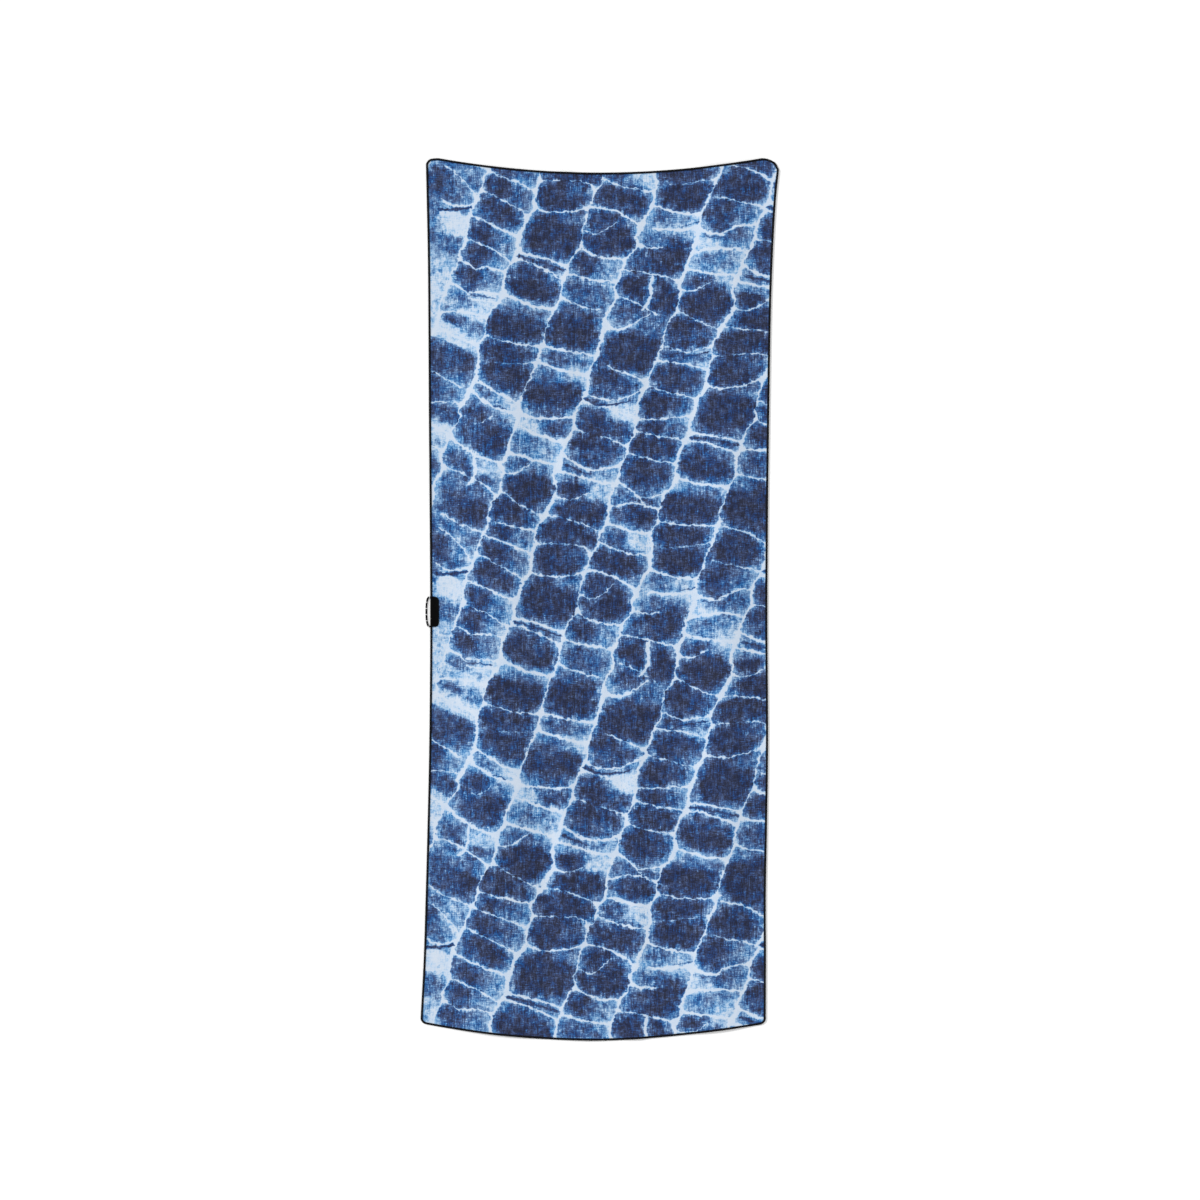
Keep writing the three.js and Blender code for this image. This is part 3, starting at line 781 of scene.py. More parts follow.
def chart_place(wiring, place):
    """Where a point of the drawn-out cloth lies on the chart: columns across and steps down."""
    x, y, _ = wiring.split(place)
    pull_x = wiring.ramp(x, CORNER_PULL["from_x"], CORNER_PULL["from_x"] - CORNER_PULL["over_x"])
    pull_y = wiring.ramp(y, CORNER_PULL["from_y"], CORNER_PULL["from_y"] - CORNER_PULL["over_y"])
    x = wiring.math("MULTIPLY_ADD", wiring.math("MULTIPLY", pull_x, pull_y), CORNER_PULL["by"], x)
    head = wiring.ramp(y, HEAD_PULL["from_y"], HEAD_PULL["from_y"] + HEAD_PULL["over_y"])
    x = wiring.math("MULTIPLY_ADD", head, -HEAD_PULL["by"], x)
    outwards = wiring.math("MULTIPLY", wiring.math("ABSOLUTE", x), 1 / BOW["half"])
    bow = wiring.math("POWER", outwards, BOW["power"])
    rise = wiring.mix(wiring.ramp(x, -BOW["change"], BOW["change"]), BOW["rise_left"], BOW["rise_right"])
    level = wiring.math("SUBTRACT", y, wiring.math("MULTIPLY", bow, rise))
    steps = wiring.math("DIVIDE", level, -CHART_STEP)
    stretch = wiring.math("MULTIPLY_ADD", steps, FOOT_STRETCH["growth"], FOOT_STRETCH["even"])
    down = wiring.math("MULTIPLY_ADD", steps, stretch, float(CHART_START))
    upright = wiring.math("MULTIPLY_ADD", y, -COLUMN_LEAN, x)
    return wiring.math("MULTIPLY_ADD", upright, 1 / COLUMN_PITCH, COLUMN_START), down


def side_place(wiring, fraction, odd, on_down):
    """One where a side edge's own tables hold and nought elsewhere, and the steps down the chart there."""
    turn_from = wiring.mix(odd, float(EVEN_TURN["from"]), float(ODD_TURN["from"]))
    turn_slope = wiring.mix(odd, float(EVEN_TURN["slope"]), float(ODD_TURN["slope"]))
    turn = wiring.math("MULTIPLY_ADD", turn_slope, fraction, turn_from)
    on_left = wiring.math("GREATER_THAN", on_down, turn)
    even_down = wiring.math("MULTIPLY_ADD", odd, float(ODD_SHIFT), on_down)
    on_right = wiring.math("COMPARE", even_down, -RIGHT_ROWS / 2, RIGHT_ROWS / 2)
    return wiring.math("MAXIMUM", on_left, on_right), wiring.math("ADD", even_down, float(SIDE_SHIFT))


def upright_crack(wiring, fraction, net_down):
    """Steps from a point to the middle of the upright crack, whose line is a parabola down the chart."""
    top, bottom = (ODD_SHIFT + down_at for down_at in ODD_UPRIGHT["down"])
    bend = np.polyfit([top, (top + bottom) / 2, bottom], ODD_UPRIGHT["across"], 2)
    held = wiring.math("MINIMUM", wiring.math("MAXIMUM", net_down, float(top)), float(bottom))
    line = wiring.math("MULTIPLY_ADD", wiring.math("MULTIPLY_ADD", held, bend[0], bend[1]), held, bend[2])
    aside = wiring.math("ABSOLUTE", wiring.math("SUBTRACT", fraction, line))
    beyond = wiring.math("ABSOLUTE", wiring.math("SUBTRACT", net_down, held))
    return wiring.math("ADD", wiring.math("MULTIPLY", aside, PITCH_STEPS), beyond)


def stayed_out(wiring, fraction, odd, here, on_down, at_side):
    """How far the dye stayed out at a point, from the fade tables."""
    fall = wiring.math("SUBTRACT", 0.5, fraction)
    row = wiring.math("MULTIPLY_ADD", fall, FADE_LEAN, here)
    side_row = wiring.math("MULTIPLY_ADD", fall, FADE_LEAN, on_down)
    halves = []
    for column in (1, 2):
        even = wiring.curve(row, table_column(EVEN_FADE, column), REPEAT)
        other = wiring.curve(row, table_column(ODD_FADE, column), REPEAT)
        even_side = wiring.part_curve(side_row, table_column(EVEN_SIDE_FADE, column))
        other_side = wiring.part_curve(side_row, table_column(ODD_SIDE_FADE, column))
        inner = wiring.mix(odd, even, other)
        halves.append(wiring.mix(at_side, inner, wiring.mix(odd, even_side, other_side)))
    return wiring.mix(wiring.ramp(fraction, *FADE_CHANGE), *halves)


def tied_net_group():
    """The chart as masks. Crack is the distance in steps from the nearest crack's border, Glow that from the
    border of the glow round it, Slit that from a line of deep dye, and Fade how far the dye stayed out."""
    inputs = [("Place", "NodeSocketVector", None)]
    outputs = [(label, "NodeSocketFloat") for label in ("Crack", "Glow", "Slit", "Fade")]
    wiring, given, result = node_group("tied net chart", inputs, outputs)
    across, down = chart_place(wiring, given["Place"])
    fraction, odd, here, right, _ = column_place(wiring, across, down)
    left_shift, right_shift = long_cracks(wiring, 1, odd, here, right)
    across = wiring.math("SUBTRACT", across, wiring.mix(fraction, left_shift, right_shift))
    fraction, odd, here, right, on_down = column_place(wiring, across, down)
    left_half, right_half = long_cracks(wiring, 2, odd, here, right)
    square_on = PITCH_STEPS * math.cos(math.atan(COLUMN_LEAN))
    from_left = wiring.math("MULTIPLY", fraction, square_on)
    from_right = wiring.math("MULTIPLY", wiring.math("SUBTRACT", 1.0, fraction), square_on)

    at_side, side_down = side_place(wiring, fraction, odd, on_down)
    net_down = wiring.math("MULTIPLY_ADD", odd, float(ODD_SHIFT), here)
    chart_down = wiring.mix(at_side, net_down, side_down)
    borders = (CRACK_BORDER, GLOW_BORDER)
    cracks = chart_strokes(EVEN_CROSS_CRACKS, ODD_CROSS_CRACKS, EVEN_SIDE_CRACKS, ODD_SIDE_CRACKS)
    crosses = nearest_stroke(wiring, cracks, fraction, chart_down, borders)
    upright = upright_crack(wiring, fraction, net_down)
    joins = (CRACK_JOIN, GLOW_JOIN)
    for label, cross, (share, shift), join in zip(("Crack", "Glow"), crosses, borders, joins):
        to_left = wiring.math("MULTIPLY_ADD", left_half, -share, from_left)
        to_right = wiring.math("MULTIPLY_ADD", right_half, -share, from_right)
        side = wiring.math("SUBTRACT", wiring.math("MINIMUM", to_left, to_right), shift)
        to_upright = wiring.math("SUBTRACT", upright, share * ODD_UPRIGHT["half"] + shift)
        cross = wiring.math("MINIMUM", cross, to_upright)
        wiring.tree.links.new(wiring.math("SMOOTH_MIN", side, cross, join), result[label])

    slits = chart_strokes(EVEN_SLITS, ODD_SLITS, EVEN_SIDE_SLITS, ODD_SIDE_SLITS)
    slit = nearest_stroke(wiring, slits, fraction, chart_down, (SLIT_BORDER,))[0]
    wiring.tree.links.new(slit, result["Slit"])
    fade = stayed_out(wiring, fraction, odd, here, on_down, at_side)
    wiring.tree.links.new(fade, result["Fade"])
    return wiring.tree


# Slub threads: a noise's scales along X, Y and Z, and its weight
SLUBS = [
    ((75.0, 480.0, 1.0), 0.75),
    ((480.0, 65.0, 1.0), 0.75),
    ((210.0, 14.0, 1.0), 0.5),
]
# Noises of the dye: scale, detail and roughness
DYE_NOISES = {
    "speck": (370.0, 2.0, 0.7),
    "mottle": (75.0, 3.0, 0.65),
    "cloud": (19.0, 2.0, 0.5),
    "bead": (75.0, 2.0, 0.5),
    "vivid": (42.0, 3.0, 0.6),
}
# The cracks wander and are jagged: a noise's scale and detail, and how far it moves them
WANDERS = [
    (38.0, 1.0, 0.008),
    (125.0, 1.5, 0.010),
]
# How each noise moves a crack's border in steps, and the steps over which the border feathers
BORDER = {"speck": 0.7, "hatch": 0.6, "bead": 3.0, "feather": (-0.9, 0.5)}
# The glow round the cracks and the deep core of the cells: how mottled its edge is, the steps over which that
# feathers, and the depth that the dye gains past it, over LEAST_DEPTH beside a crack
GLOW = {"mottle": 5.0, "feather": (-3.5, 2.5), "depth": 0.25}
CORE = {"mottle": 6.0, "feather": (-1.5, 6.5), "depth": 0.26}
LEAST_DEPTH = 0.35
# Where dye stayed out: how the noises move that, the dye's share where none stayed out, how fast that thins,
# and over what range the cloth goes almost bare, by how much more
STAYED_OUT = {
    "cloud": 0.35,
    "mottle": -0.5,
    "full": 1.01,
    "thins": 0.80,
    "almost_bare": (0.60, 0.95),
    "barer_by": 0.26,
}
# Pale single threads down the cloth: a noise's scales, the values over which one fades in, and its strength
PALE_THREADS = {"scales": (330.0, 9.0, 1.0), "range": (0.66, 0.76), "by": 0.22}
SLIT = {"speck": 1.6, "feather": (1.8, -0.4), "depth": 0.74}
# Grain over everything: each noise's strength, how much of it is left in a crack, and how it grows as the dye
# deepens over a range
GRAIN = {
    "speck": 0.9,
    "hatch": 1.2,
    "mottle": 0.5,
    "in_crack": 0.14,
    "range": (0.05, 0.60),
    "grows": (0.42, 1.05),
}
VIVIDNESS = {"range": (0.25, 0.75), "grows": (0.84, 1.14)}


def slub_group():
    """Uneven threads that lie both ways across the cloth, as noise about a half, drawn out along X and Y."""
    inputs = [("Place", "NodeSocketVector", None)]
    wiring, given, result = node_group("slub threads", inputs, [("Hatch", "NodeSocketFloat")])
    hatch = 0.5 - sum(weight for _, weight in SLUBS) / 2
    for scales, weight in SLUBS:
        hatch = wiring.math("MULTIPLY_ADD", wiring.stretched_noise(given["Place"], scales), weight, hatch)
    wiring.tree.links.new(hatch, result["Hatch"])
    return wiring.tree


def dye_depth_group(net, slub):
    """Depth of the dye from nought, bare cloth, to one: it rises away from the cracks' feathered borders, is
    held back where the chart fades it and along the left edge, where that paleness is painted light with some
    paler print, and is uneven with clouds and threads. Vividness is how pure the blue is, about one."""
    inputs = [("Place", "NodeSocketVector", None)]
    outputs = [("Depth", "NodeSocketFloat"), ("Vividness", "NodeSocketFloat")]
    wiring, given, result = node_group("dye depth", inputs, outputs)
    place = given["Place"]
    moved = place
    for scale, detail, by in WANDERS:
        aside = wiring.vector("SUBTRACT", wiring.noise(place, scale, detail, output="Color"), (0.5, 0.5, 0.5))
        moved = wiring.vector("MULTIPLY_ADD", aside, (by, by, 0.0), moved)
    chart = use_group(wiring, net, {"Place": moved})
    noise = {name: wiring.noise(place, *settings) for name, settings in DYE_NOISES.items()}
    noise["hatch"] = use_group(wiring, slub, {"Place": place})["Hatch"]

    crack = chart["Crack"]
    for name in ("speck", "hatch", "bead"):
        crack = wiring.uneven(crack, noise[name], BORDER[name])
    border = wiring.ramp(crack, *BORDER["feather"])
    reach = wiring.uneven(chart["Glow"], noise["mottle"], GLOW["mottle"])
    glow = wiring.ramp(reach, *GLOW["feather"])
    core = wiring.ramp(wiring.uneven(reach, noise["mottle"], CORE["mottle"]), *CORE["feather"])
    body = wiring.math("MULTIPLY_ADD", core, CORE["depth"], LEAST_DEPTH)
    depth = wiring.math("MULTIPLY", border, wiring.math("MULTIPLY_ADD", glow, GLOW["depth"], body))

    held = wiring.uneven(chart["Fade"], noise["cloud"], STAYED_OUT["cloud"])
    held = wiring.uneven(held, noise["mottle"], STAYED_OUT["mottle"])
    # Painted light: the left margin is made paler, standing in for the lamp's light there, partly also paler
    # print.
    x = wiring.split(place)[0]
    margin = wiring.ramp(x, LEFT_PAINTED_LIGHT_AND_PALER_PRINT["from_x"], LEFT_PAINTED_LIGHT_AND_PALER_PRINT["from_x"] - LEFT_PAINTED_LIGHT_AND_PALER_PRINT["over_x"])
    held = wiring.math("MULTIPLY_ADD", margin, LEFT_PAINTED_LIGHT_AND_PALER_PRINT["by"], held)
    bare = wiring.math("MULTIPLY", wiring.ramp(held, *STAYED_OUT["almost_bare"]), STAYED_OUT["barer_by"])
    kept = wiring.math("MULTIPLY_ADD", held, -STAYED_OUT["thins"], STAYED_OUT["full"])
    kept = wiring.math("SUBTRACT", kept, bare, clamp=True)
    depth = wiring.math("MULTIPLY", depth, kept)
    thread = wiring.stretched_noise(place, PALE_THREADS["scales"], 1.0)
    thread = wiring.ramp(thread, *PALE_THREADS["range"])
    depth = wiring.math("MULTIPLY", depth, wiring.math("MULTIPLY_ADD", thread, -PALE_THREADS["by"], 1.0))
    slit = wiring.math("MULTIPLY_ADD", noise["speck"], SLIT["speck"], chart["Slit"])
    slit = wiring.ramp(slit, *SLIT["feather"])
    depth = wiring.math("MAXIMUM", depth, wiring.math("MULTIPLY", slit, SLIT["depth"]))

    grain = 0.0
    for name in ("speck", "hatch", "mottle"):
        grain = wiring.uneven(grain, noise[name], GRAIN[name])
    on_cells = wiring.math("MULTIPLY_ADD", border, 1 - GRAIN["in_crack"], GRAIN["in_crack"])
    grain = wiring.math("MULTIPLY", grain, on_cells)
    grain = wiring.math("MULTIPLY", grain, wiring.ramp(depth, *GRAIN["range"], *GRAIN["grows"]))
    wiring.tree.links.new(wiring.math("ADD", depth, grain, clamp=True), result["Depth"])
    vivid = wiring.ramp(noise["vivid"], *VIVIDNESS["range"], *VIVIDNESS["grows"])
    wiring.tree.links.new(vivid, result["Vividness"])
    return wiring.tree


def pile_group():
    """Height of the brushed pile: small nubs, with finer fibre on them."""
    inputs = [("Place", "NodeSocketVector", None)]
    wiring, given, result = node_group("brushed pile", inputs, [("Height", "NodeSocketFloat")])
    nub = wiring.noise(given["Place"], scale=520.0, roughness=0.6)
    fibre = wiring.noise(given["Place"], scale=1900.0, roughness=0.6)
    wiring.tree.links.new(wiring.math("MULTIPLY_ADD", fibre, 0.35, nub), result["Height"])
    return wiring.tree


def linear(red, green, blue):
    """A colour given in the 0 to 255 of a screen, as the shader's own values."""
    share = np.array([red, green, blue]) / 255.0
    low = share / 12.92
    high = ((share + 0.055) / 1.055) ** 2.4
    return (*np.where(share <= 0.04045, low, high), 1.0)


def colour_ramp(wiring, value, stops):
    made = wiring.node("ShaderNodeValToRGB", {"Fac": value})
    elements = made.color_ramp.elements
    while len(elements) > 1:
        elements.remove(elements[-1])
    elements[0].position = stops[0][0]
    elements[0].color = linear(*stops[0][1])
    for at, colour in stops[1:]:
        elements.new(at).color = linear(*colour)
    return made.outputs["Color"]


def new_material(name):
    """An empty material with its wiring, its Principled shader and the object's own coordinates."""
    material = bpy.data.materials.new(name)
    material.use_nodes = True
    material.node_tree.nodes.clear()
    wiring = Wiring(material.node_tree)
    shader = wiring.node("ShaderNodeBsdfPrincipled")
    wiring.node("ShaderNodeOutputMaterial", {"Surface": shader.outputs[0]})
    place = wiring.node("ShaderNodeTexCoord").outputs["Object"]
    return material, wiring, shader, place


def bump(wiring, height, distance, strength):
    values = {"Height": height, "Distance": distance, "Strength": strength}
    return wiring.node("ShaderNodeBump", values).outputs["Normal"]


# Bare cloth to deepest dye, on the face and showing faintly through to the back
INDIGO = [
    (0.00, (193, 206, 222)),
    (0.10, (161, 190, 218)),
    (0.22, (116, 158, 199)),
    (0.34, (79, 122, 171)),
    (0.46, (60, 95, 147)),
    (0.58, (52, 77, 125)),
    (0.70, (48, 63, 103)),
    (0.83, (43, 52, 81)),
    (1.00, (34, 38, 57)),
]
SHOW_THROUGH = [
    (0.00, (226, 232, 240)),
    (0.45, (196, 209, 226)),
    (1.00, (158, 176, 202)),
]


def towelling_material(name, dye, pile, stops):
    material, wiring, shader, place = new_material(name)
    dyed = use_group(wiring, dye, {"Place": place})
    height = use_group(wiring, pile, {"Place": place})["Height"]
    colour = {"Color": colour_ramp(wiring, dyed["Depth"], stops), "Saturation": dyed["Vividness"]}
    colour = wiring.node("ShaderNodeHueSaturation", colour).outputs["Color"]
    wiring.tree.links.new(colour, shader.inputs["Base Color"])
    nap = bump(wiring, height, distance=0.0005, strength=0.8)
    wiring.tree.links.new(nap, shader.inputs["Normal"])
    shader.inputs["Roughness"].default_value = 0.95
    shader.inputs["Specular IOR Level"].default_value = 0.15
    shader.inputs["Sheen Weight"].default_value = 0.06
    shader.inputs["Sheen Roughness"].default_value = 0.5
    return material


def thread_material():
    """Sewing thread: fine slanting strands along the piece's own map. Their colour follows their height,
    lighter
    on the crests and darker in the grooves: a painted highlight and shade.
    """
    strand_run, strand_round = 0.0009, 0.0006
    material, wiring, shader, place = new_material("edging_thread")
    run = wiring.node("ShaderNodeUVMap", uv_map="run").outputs["UV"]
    u, v, _ = wiring.split(run)
    turn = wiring.math("MULTIPLY", v, 2 * math.pi / strand_round)
    turn = wiring.math("MULTIPLY_ADD", u, 2 * math.pi / strand_run, turn)
    fuzz = wiring.noise(place, scale=2600.0)
    height = wiring.math("MULTIPLY_ADD", fuzz, 0.8, wiring.math("SINE", turn))
    # Painted highlight and shade: the colour follows the strands' height, lighter on crests, darker in
    # grooves.
    tone = wiring.math("MULTIPLY_ADD", height, 0.28, 0.32, clamp=True)
    colour = colour_ramp(wiring, tone, [(0.0, (3, 4, 7)), (1.0, (15, 16, 23))])
    wiring.tree.links.new(colour, shader.inputs["Base Color"])
    strands = bump(wiring, height, distance=0.00012, strength=0.7)
    wiring.tree.links.new(strands, shader.inputs["Normal"])
    shader.inputs["Roughness"].default_value = 0.75
    shader.inputs["Specular IOR Level"].default_value = 0.12
    return material


def patch_material():
    """Soft moulded rubber: fine pebble grain, a little greyer where handling has rubbed it."""
    material, wiring, shader, place = new_material("moulded_patch")
    pebble = wiring.noise(place, scale=2200.0)
    worn = wiring.noise(place, scale=130.0, detail=3.0)
    tone = wiring.math("MULTIPLY_ADD", pebble, 0.5, wiring.math("MULTIPLY", worn, 0.5))
    colour = colour_ramp(wiring, tone, [(0.30, (1, 1, 2)), (0.70, (10, 10, 11))])
    wiring.tree.links.new(colour, shader.inputs["Base Color"])
    rubbed = wiring.ramp(worn, 0.3, 0.7, to_low=0.48, to_high=0.66)
    wiring.tree.links.new(rubbed, shader.inputs["Roughness"])
    grain = bump(wiring, pebble, distance=0.00008, strength=0.6)
    wiring.tree.links.new(grain, shader.inputs["Normal"])
    shader.inputs["Specular IOR Level"].default_value = 0.04
    return material


def cord_material():
    """Twisted cord: near-black yarn with short pale flecks, one in each lay, and fine fibre."""
    material, wiring, shader, place = new_material("twisted_cord")
    run = wiring.node("ShaderNodeUVMap", uv_map="run").outputs["UV"]
    u, v, _ = wiring.split(run)
    round_it = wiring.math("SINE", wiring.math("MULTIPLY", v, 2 * math.pi))
    lean = wiring.math("MULTIPLY", round_it, CORD_TWIST["fleck_lean"])
    past = wiring.math("SUBTRACT", wiring.math("ADD", u, lean), CORD_TWIST["between"])
    lays = wiring.math("DIVIDE", past, CORD_TWIST["lay"])
    off = wiring.math("SUBTRACT", wiring.math("FLOORED_MODULO", lays, 1.0), 0.5)
    half = CORD_TWIST["fleck"] / CORD_TWIST["lay"] / 2
    fleck = wiring.ramp(wiring.math("ABSOLUTE", off), half * 1.3, half * 0.7)
    fibre = wiring.noise(place, scale=2400.0)
    dark = colour_ramp(wiring, fibre, [(0.3, (2, 2, 3)), (0.75, (12, 12, 14))])
    pale = colour_ramp(wiring, fibre, [(0.3, (205, 205, 206)), (0.75, (238, 238, 238))])
    mixed = wiring.node("ShaderNodeMix", {0: fleck, 6: dark, 7: pale}, data_type="RGBA").outputs[2]
    wiring.tree.links.new(mixed, shader.inputs["Base Color"])
    fuzz = bump(wiring, fibre, distance=0.0002, strength=0.7)
    wiring.tree.links.new(fuzz, shader.inputs["Normal"])
    shader.inputs["Roughness"].default_value = 0.75
    shader.inputs["Specular IOR Level"].default_value = 0.04
    return material


def edging_profile():
    """The edging's section, outwards from the cloth's rim and up from the middle of its thickness: a round
    outer skin from the lower leg to the upper one, then the slot that takes the cloth. Also how much of a
    stitch's rise each point takes, and its distance round the section."""
    half, inner, outer = EDGING_THICK / 2, RIM_INSET - EDGING["width"], RIM_INSET
    angle = np.linspace(-math.pi / 2, math.pi / 2, 7)
    reach = half * EDGING["nose"]
    nose = np.stack([outer - reach + reach * np.cos(angle), half * np.sin(angle)], -1)
    shoulder = (inner + outer) / 2 - EDGING["shoulder"]
    end = half - EDGING["slope"]
    skin = np.concatenate([[[inner, -end], [shoulder, -half]], nose, [[shoulder, half], [inner, end]]])
    slot = half - EDGING["leg"]
    lining = np.array([[inner, slot], [GAP, slot], [GAP, -slot], [inner, -slot]])
    section = np.concatenate([skin, lining])
    span = np.linspace(*STITCH["rise_span"], len(skin))
    rise = np.concatenate([np.sin(span * math.pi), np.zeros(len(lining))])
    round_it = np.concatenate([[0], np.cumsum(np.linalg.norm(np.diff(section, axis=0), axis=1))])
    return section, rise, round_it


def edging_piece(over, base, material):
    """The section carried once round the panel's rim, anticlockwise, with the stitches' ridges: a cosine of
    the distance run, slanting across the section."""
    rows, columns = base.shape
    order = rim_strip(rows, columns, rows * columns)[:, 0]
    rim = np.concatenate([over[..., :2].reshape(-1, 2)[order], base.reshape(-1, 1)[order]], -1)
    rim = np.concatenate([rim, rim[:1]])
    run = np.concatenate([[0], np.cumsum(np.linalg.norm(np.diff(rim[:, :2], axis=0), axis=1))])
    stitches = round(run[-1] / STITCH["pitch"])
    steps = stitches * STITCH["samples"]
    at = np.linspace(0, run[-1], steps, endpoint=False)
    path = np.stack([np.interp(at, run, rim[:, k]) for k in range(3)], -1)
    ahead = np.roll(path, -2, axis=0) - np.roll(path, 2, axis=0)
    out = np.stack([ahead[:, 1], -ahead[:, 0]], -1)
    out /= np.linalg.norm(out, axis=1, keepdims=True)

    section, rise, round_it = edging_profile()
    away = section - np.array([section[:, 0].mean(), 0])
    away /= np.maximum(np.linalg.norm(away, axis=1, keepdims=True), 1e-9)
    drift = STITCH["drift"] * np.sin(2 * np.pi * at[:, None] / STITCH["drift_over"])
    count = at[:, None] * stitches / run[-1] + drift
    phase = count + STITCH["slant"] * round_it[None, :] / EDGING["width"]
    ridge = STITCH["rise"] / 2 * rise * np.cos(2 * np.pi * phase)
    outwards = section[None, :, 0] + ridge * away[None, :, 0]
    upwards = section[None, :, 1] + ridge * away[None, :, 1]
    x = path[:, 0, None] + out[:, 0, None] * outwards
    y = path[:, 1, None] + out[:, 1, None] * outwards
    z = np.maximum(path[:, 2, None] + EDGING_THICK / 2 + upwards, 0)
    points = np.stack([x, y, z], -1)
    faces = quads_of(steps, len(section), close_rows=True, close_columns=True)
    run_map = np.stack(np.broadcast_arrays(at[:, None], round_it[None, :]), -1)
    return make_piece("edge_binding_sewn", points, faces[:, ::-1], [material], sheet_map=run_map)


def patch_lines(size, radius, count):
    """Mesh lines across the patch: close at both rims and round the corners, even between."""
    corner = np.linspace(PATCH_RIM_LINES[-1], radius, PATCH_MESH["corner"])[1:]
    low = np.concatenate([PATCH_RIM_LINES, corner])
    middle = np.linspace(radius, size - radius, count)[1:-1]
    return np.concatenate([low, middle, (size - low)[::-1]])


def patch_height(rim):
    """The patch's face over its underside, with a quarter-round rim."""
    rise = np.minimum(rim / PATCH_FINISH["rim"], 1)
    at_rim = PATCH_FINISH["rim_share"]
    return PATCH["thick"] * (at_rim + (1 - at_rim) * np.sqrt(1 - (1 - rise) ** 2))


def patch_under(inwards):
    """Height of the patch's underside: it steps down from the edging to the cloth."""
    reach = PATCH["width"] - PATCH["radius"] / 2
    down = smooth((inwards - PATCH["step"]) / (reach - PATCH["step"]))
    return (EDGING_THICK + GAP) * (1 - down) + (CLOTH_THICK + GAP) * down


def patch_place(inwards, along):
    """Points of the patch in the frame from the distance in from the towel's edge and along from its foot.
    Its inner side bulges a little, most of all below its middle."""
    y = PATCH["middle"] - PATCH["length"] / 2 + along
    share = np.clip(along / PATCH["length"], 0, 1)
    fullness = np.sin(math.pi * share ** PATCH_FINISH["bulge_power"])
    bulge = PATCH_FINISH["bulge"] * fullness * inwards / PATCH["width"]
    return outer_left(y) + inwards + bulge + PANEL_MIDDLE[0], y + PANEL_MIDDLE[1]


def patch_piece(material):
    """A closed sheet with round corners, the right ones larger: its plan is a square corner mapped to a disc,
    its face is patch_height over patch_under."""
    across = patch_lines(PATCH["width"], PATCH["radius"], PATCH_MESH["across"])
    along = patch_lines(PATCH["length"], PATCH["radius"], PATCH_MESH["along"])
    inwards, up = np.meshgrid(across, along)
    from_end = np.minimum(up, PATCH["length"] - up)
    from_right, rounded_end = round_corner(PATCH["width"] - inwards, from_end, PATCH["radius"])
    from_left, left_end = round_corner(inwards, from_end, PATCH["edge_radius"])
    on_right = inwards > PATCH["width"] / 2
    rounded_end = np.where(on_right, rounded_end, left_end)
    inwards = np.where(on_right, PATCH["width"] - from_right, from_left)
    up = np.where(up < PATCH["length"] / 2, rounded_end, PATCH["length"] - rounded_end)
    corner_in = np.maximum(PATCH["radius"] - from_right, 0)
    corner_up = np.maximum(PATCH["radius"] - rounded_end, 0)
    in_corner = on_right & (corner_in > 0) & (corner_up > 0)
    rim = np.minimum(np.minimum(inwards, PATCH["width"] - inwards), rounded_end)
    rim = np.where(in_corner, PATCH["radius"] - np.hypot(corner_in, corner_up), rim)
    rim = np.maximum(rim, 0)
    x, y = patch_place(inwards, up)
    low = patch_under(inwards)
    under = np.stack([x, y, low], -1)
    over = np.stack([x, y, low + patch_height(rim)], -1)
    return sheet_piece("side_patch_moulded", under, over, material, material)


def loop_path(steps):
    """The cord's middle line: half of a rounded oval standing out from the left edge, its powers of sine and
    cosine fuller than an ellipse, with both ends tucked in under the patch's side of the edging."""
    edge = outer_left(np.array(PATCH["middle"])) - GAP + PANEL_MIDDLE[0]
    angle = np.linspace(0, math.pi, LOOP_MESH["oval_points"])
    out = LOOP["stub"] + (LOOP["reach"] - LOOP["stub"]) * np.sin(angle) ** (2 / LOOP["power"])
    along = np.sign(np.cos(angle)) * LOOP["half"] * np.abs(np.cos(angle)) ** (2 / LOOP["power"])
    out = np.concatenate([[-LOOP["tuck"]], out, [-LOOP["tuck"]]])
    along = np.concatenate([[LOOP["half"]], along, [-LOOP["half"]]])
    y = PATCH["middle"] + along + PANEL_MIDDLE[1]
    line = np.stack([edge - out, y, np.full(out.shape, LOOP["height"] / 2)], -1)
    run = np.concatenate([[0], np.cumsum(np.linalg.norm(np.diff(line, axis=0), axis=1))])
    at = np.linspace(0, run[-1], steps)
    path = np.stack([np.interp(at, run, line[:, k]) for k in range(3)], -1)
    for _ in range(LOOP_MESH["smoothings"]):
        path[1:-1] = (path[:-2] + 2 * path[1:-1] + path[2:]) / 4
    return path, at


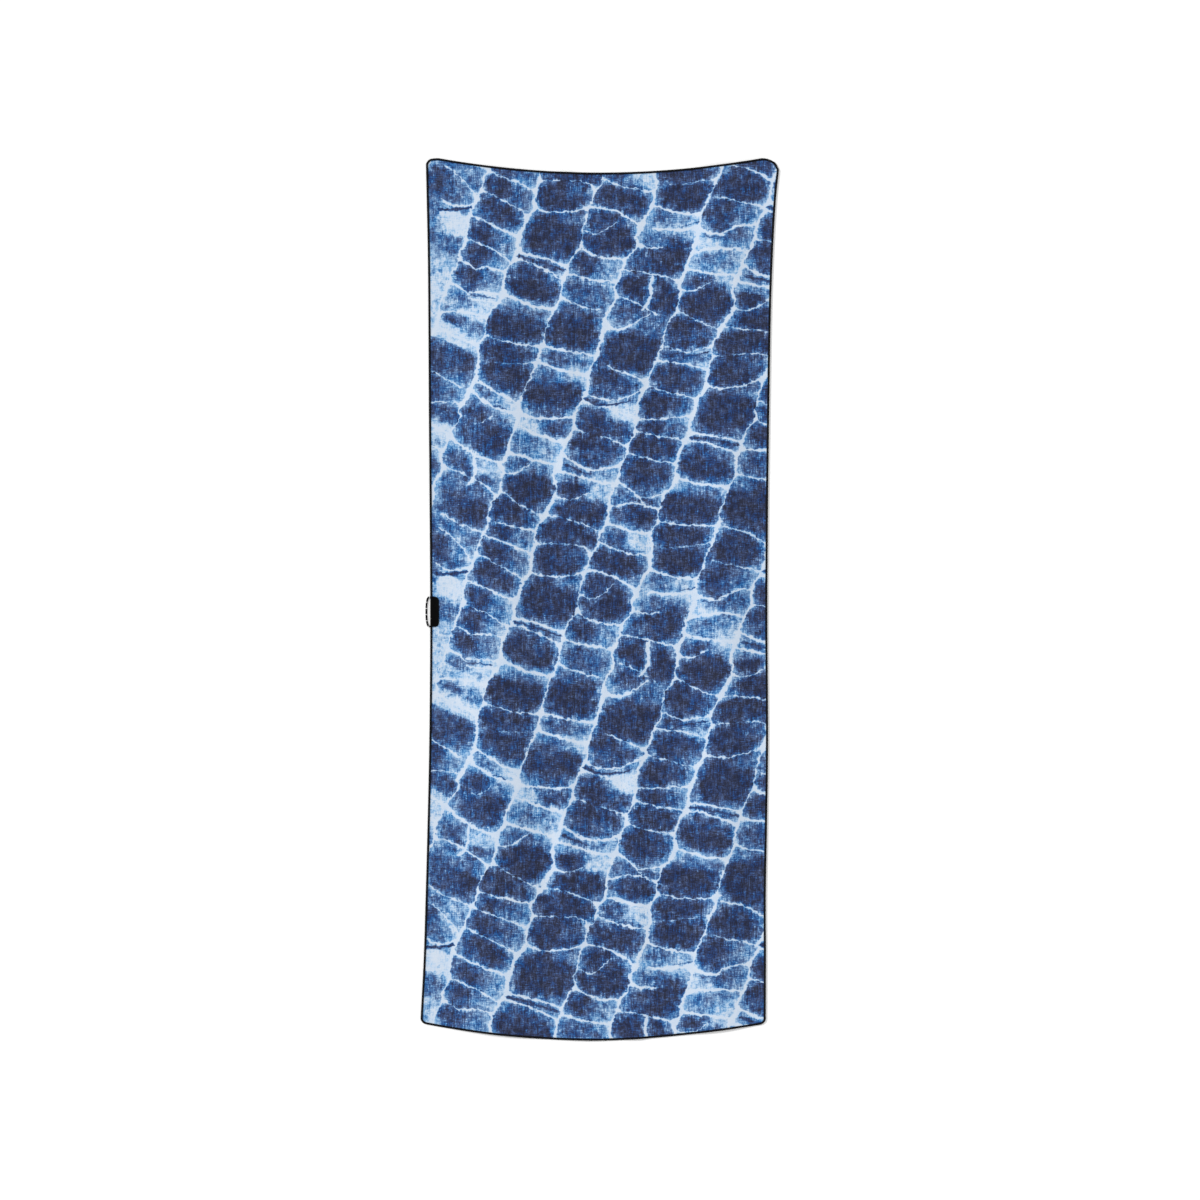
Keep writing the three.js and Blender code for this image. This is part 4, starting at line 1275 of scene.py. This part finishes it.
def loop_piece(material):
    """A three-strand cord pressed flat: an oval round its path dips between strands that turn once a lay."""
    steps, sides = LOOP_MESH["rings"], LOOP_MESH["sides"]
    path, at = loop_path(steps)
    heading = np.gradient(path, axis=0)
    heading /= np.linalg.norm(heading, axis=1, keepdims=True)
    side = np.stack([-heading[:, 1], heading[:, 0], np.zeros(steps)], -1)
    turn = np.linspace(0, 1, sides, endpoint=False)
    phase = turn[None, :] - at[:, None] / CORD_TWIST["lay"]
    dip = 1 - np.abs(np.sin(np.pi * CORD_TWIST["strands"] * phase)) ** CORD_TWIST["groove_power"]
    full = 1 - CORD_TWIST["groove"] * dip
    sideways = LOOP["width"] / 2 * np.cos(2 * np.pi * turn) * full
    upwards = LOOP["height"] / 2 * np.sin(2 * np.pi * turn) * full
    points = path[:, None] + sideways[..., None] * side[:, None]
    points[..., 2] = np.maximum(points[..., 2] + upwards, 0)
    ends = np.stack([path[0], path[-1]])
    tube = quads_of(steps, sides, close_columns=True)
    k = np.arange(sides)
    after = (k + 1) % sides
    first, last = steps * sides, steps * sides + 1
    low_cap = np.stack([np.full(sides, first), after, k], -1)
    high_cap = np.stack([np.full(sides, last), (steps - 1) * sides + k, (steps - 1) * sides + after], -1)
    run_map = np.stack(np.broadcast_arrays(at[:, None], turn[None, :]), -1).reshape(-1, 2)
    run_map = np.concatenate([run_map, [[0, 0]], [[at[-1], 0]]])
    triangles = np.concatenate([tube[:, [0, 1, 2]], tube[:, [0, 2, 3]], low_cap, high_cap])
    points = np.concatenate([points.reshape(-1, 3), ends])
    return make_piece("hang_loop_cord", points, triangles[:, ::-1], [material], sheet_map=run_map)


def place_camera():
    """Straight above, as in the photograph, whose frame takes in frame_width of floor."""
    frame_width, aside, down, height = 2.544, 0.0006, 0.0011, 6.0
    camera = bpy.data.objects.new("camera", bpy.data.cameras.new("camera"))
    camera.data.sensor_width = 36.0
    camera.data.lens = camera.data.sensor_width * height / frame_width
    camera.location = (aside, -down, height)
    bpy.context.scene.collection.objects.link(camera)
    bpy.context.scene.camera = camera


def place_light(name, heading, climb, spread, strength):
    """A far, soft lamp: it stands at a heading from +X and a climb above the floor, in degrees, and its
    spread is the angle that it fills."""
    lamp = bpy.data.lights.new(name, "SUN")
    lamp.angle = math.radians(spread)
    lamp.energy = strength
    light = bpy.data.objects.new(name, lamp)
    light.rotation_euler = (0.0, math.radians(90 - climb), math.radians(heading))
    bpy.context.scene.collection.objects.link(light)


def place_stage():
    """A plain white floor, a soft low lamp up and to the left, and an even white surround."""
    material, wiring, shader, _ = new_material("floor_white")
    shader.inputs["Base Color"].default_value = (0.93, 0.93, 0.93, 1.0)
    shader.inputs["Roughness"].default_value = 1.0
    shader.inputs["Specular IOR Level"].default_value = 0.0
    half, level = 12.0, -0.0002
    corners = [(-half, -half, level), (half, -half, level), (half, half, level), (-half, half, level)]
    floor = make_piece("floor", corners, [[0, 1, 2, 3]], [material])
    place_light("key_lamp", heading=155.0, climb=28.0, spread=9.0, strength=2.5)
    world = bpy.data.worlds.new("surround")
    world.use_nodes = True
    world.node_tree.nodes["Background"].inputs["Color"].default_value = (1.0, 1.0, 1.0, 1.0)
    world.node_tree.nodes["Background"].inputs["Strength"].default_value = 0.8
    bpy.context.scene.world = world
    bpy.context.scene.view_settings.view_transform = "Standard"


place_camera()
place_stage()

dye = dye_depth_group(tied_net_group(), slub_group())
pile = pile_group()
face = towelling_material("towelling_face", dye, pile, INDIGO)
back = towelling_material("towelling_back", dye, pile, SHOW_THROUGH)

under, over, base = panel_grid()
cloth = sheet_piece("towel_cloth_printed", under, over, face, back)
edging = edging_piece(over, base, thread_material())
patch = patch_piece(patch_material())
loop = loop_piece(cord_material())

for piece, node, slot in (
    (cloth, "towel_cloth", "towelling"),
    (edging, "edge_binding", "edging"),
    (patch, "side_patch", "patch"),
    (loop, "hang_loop", "loop_cord"),
):
    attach(piece, "root")
    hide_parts(node)
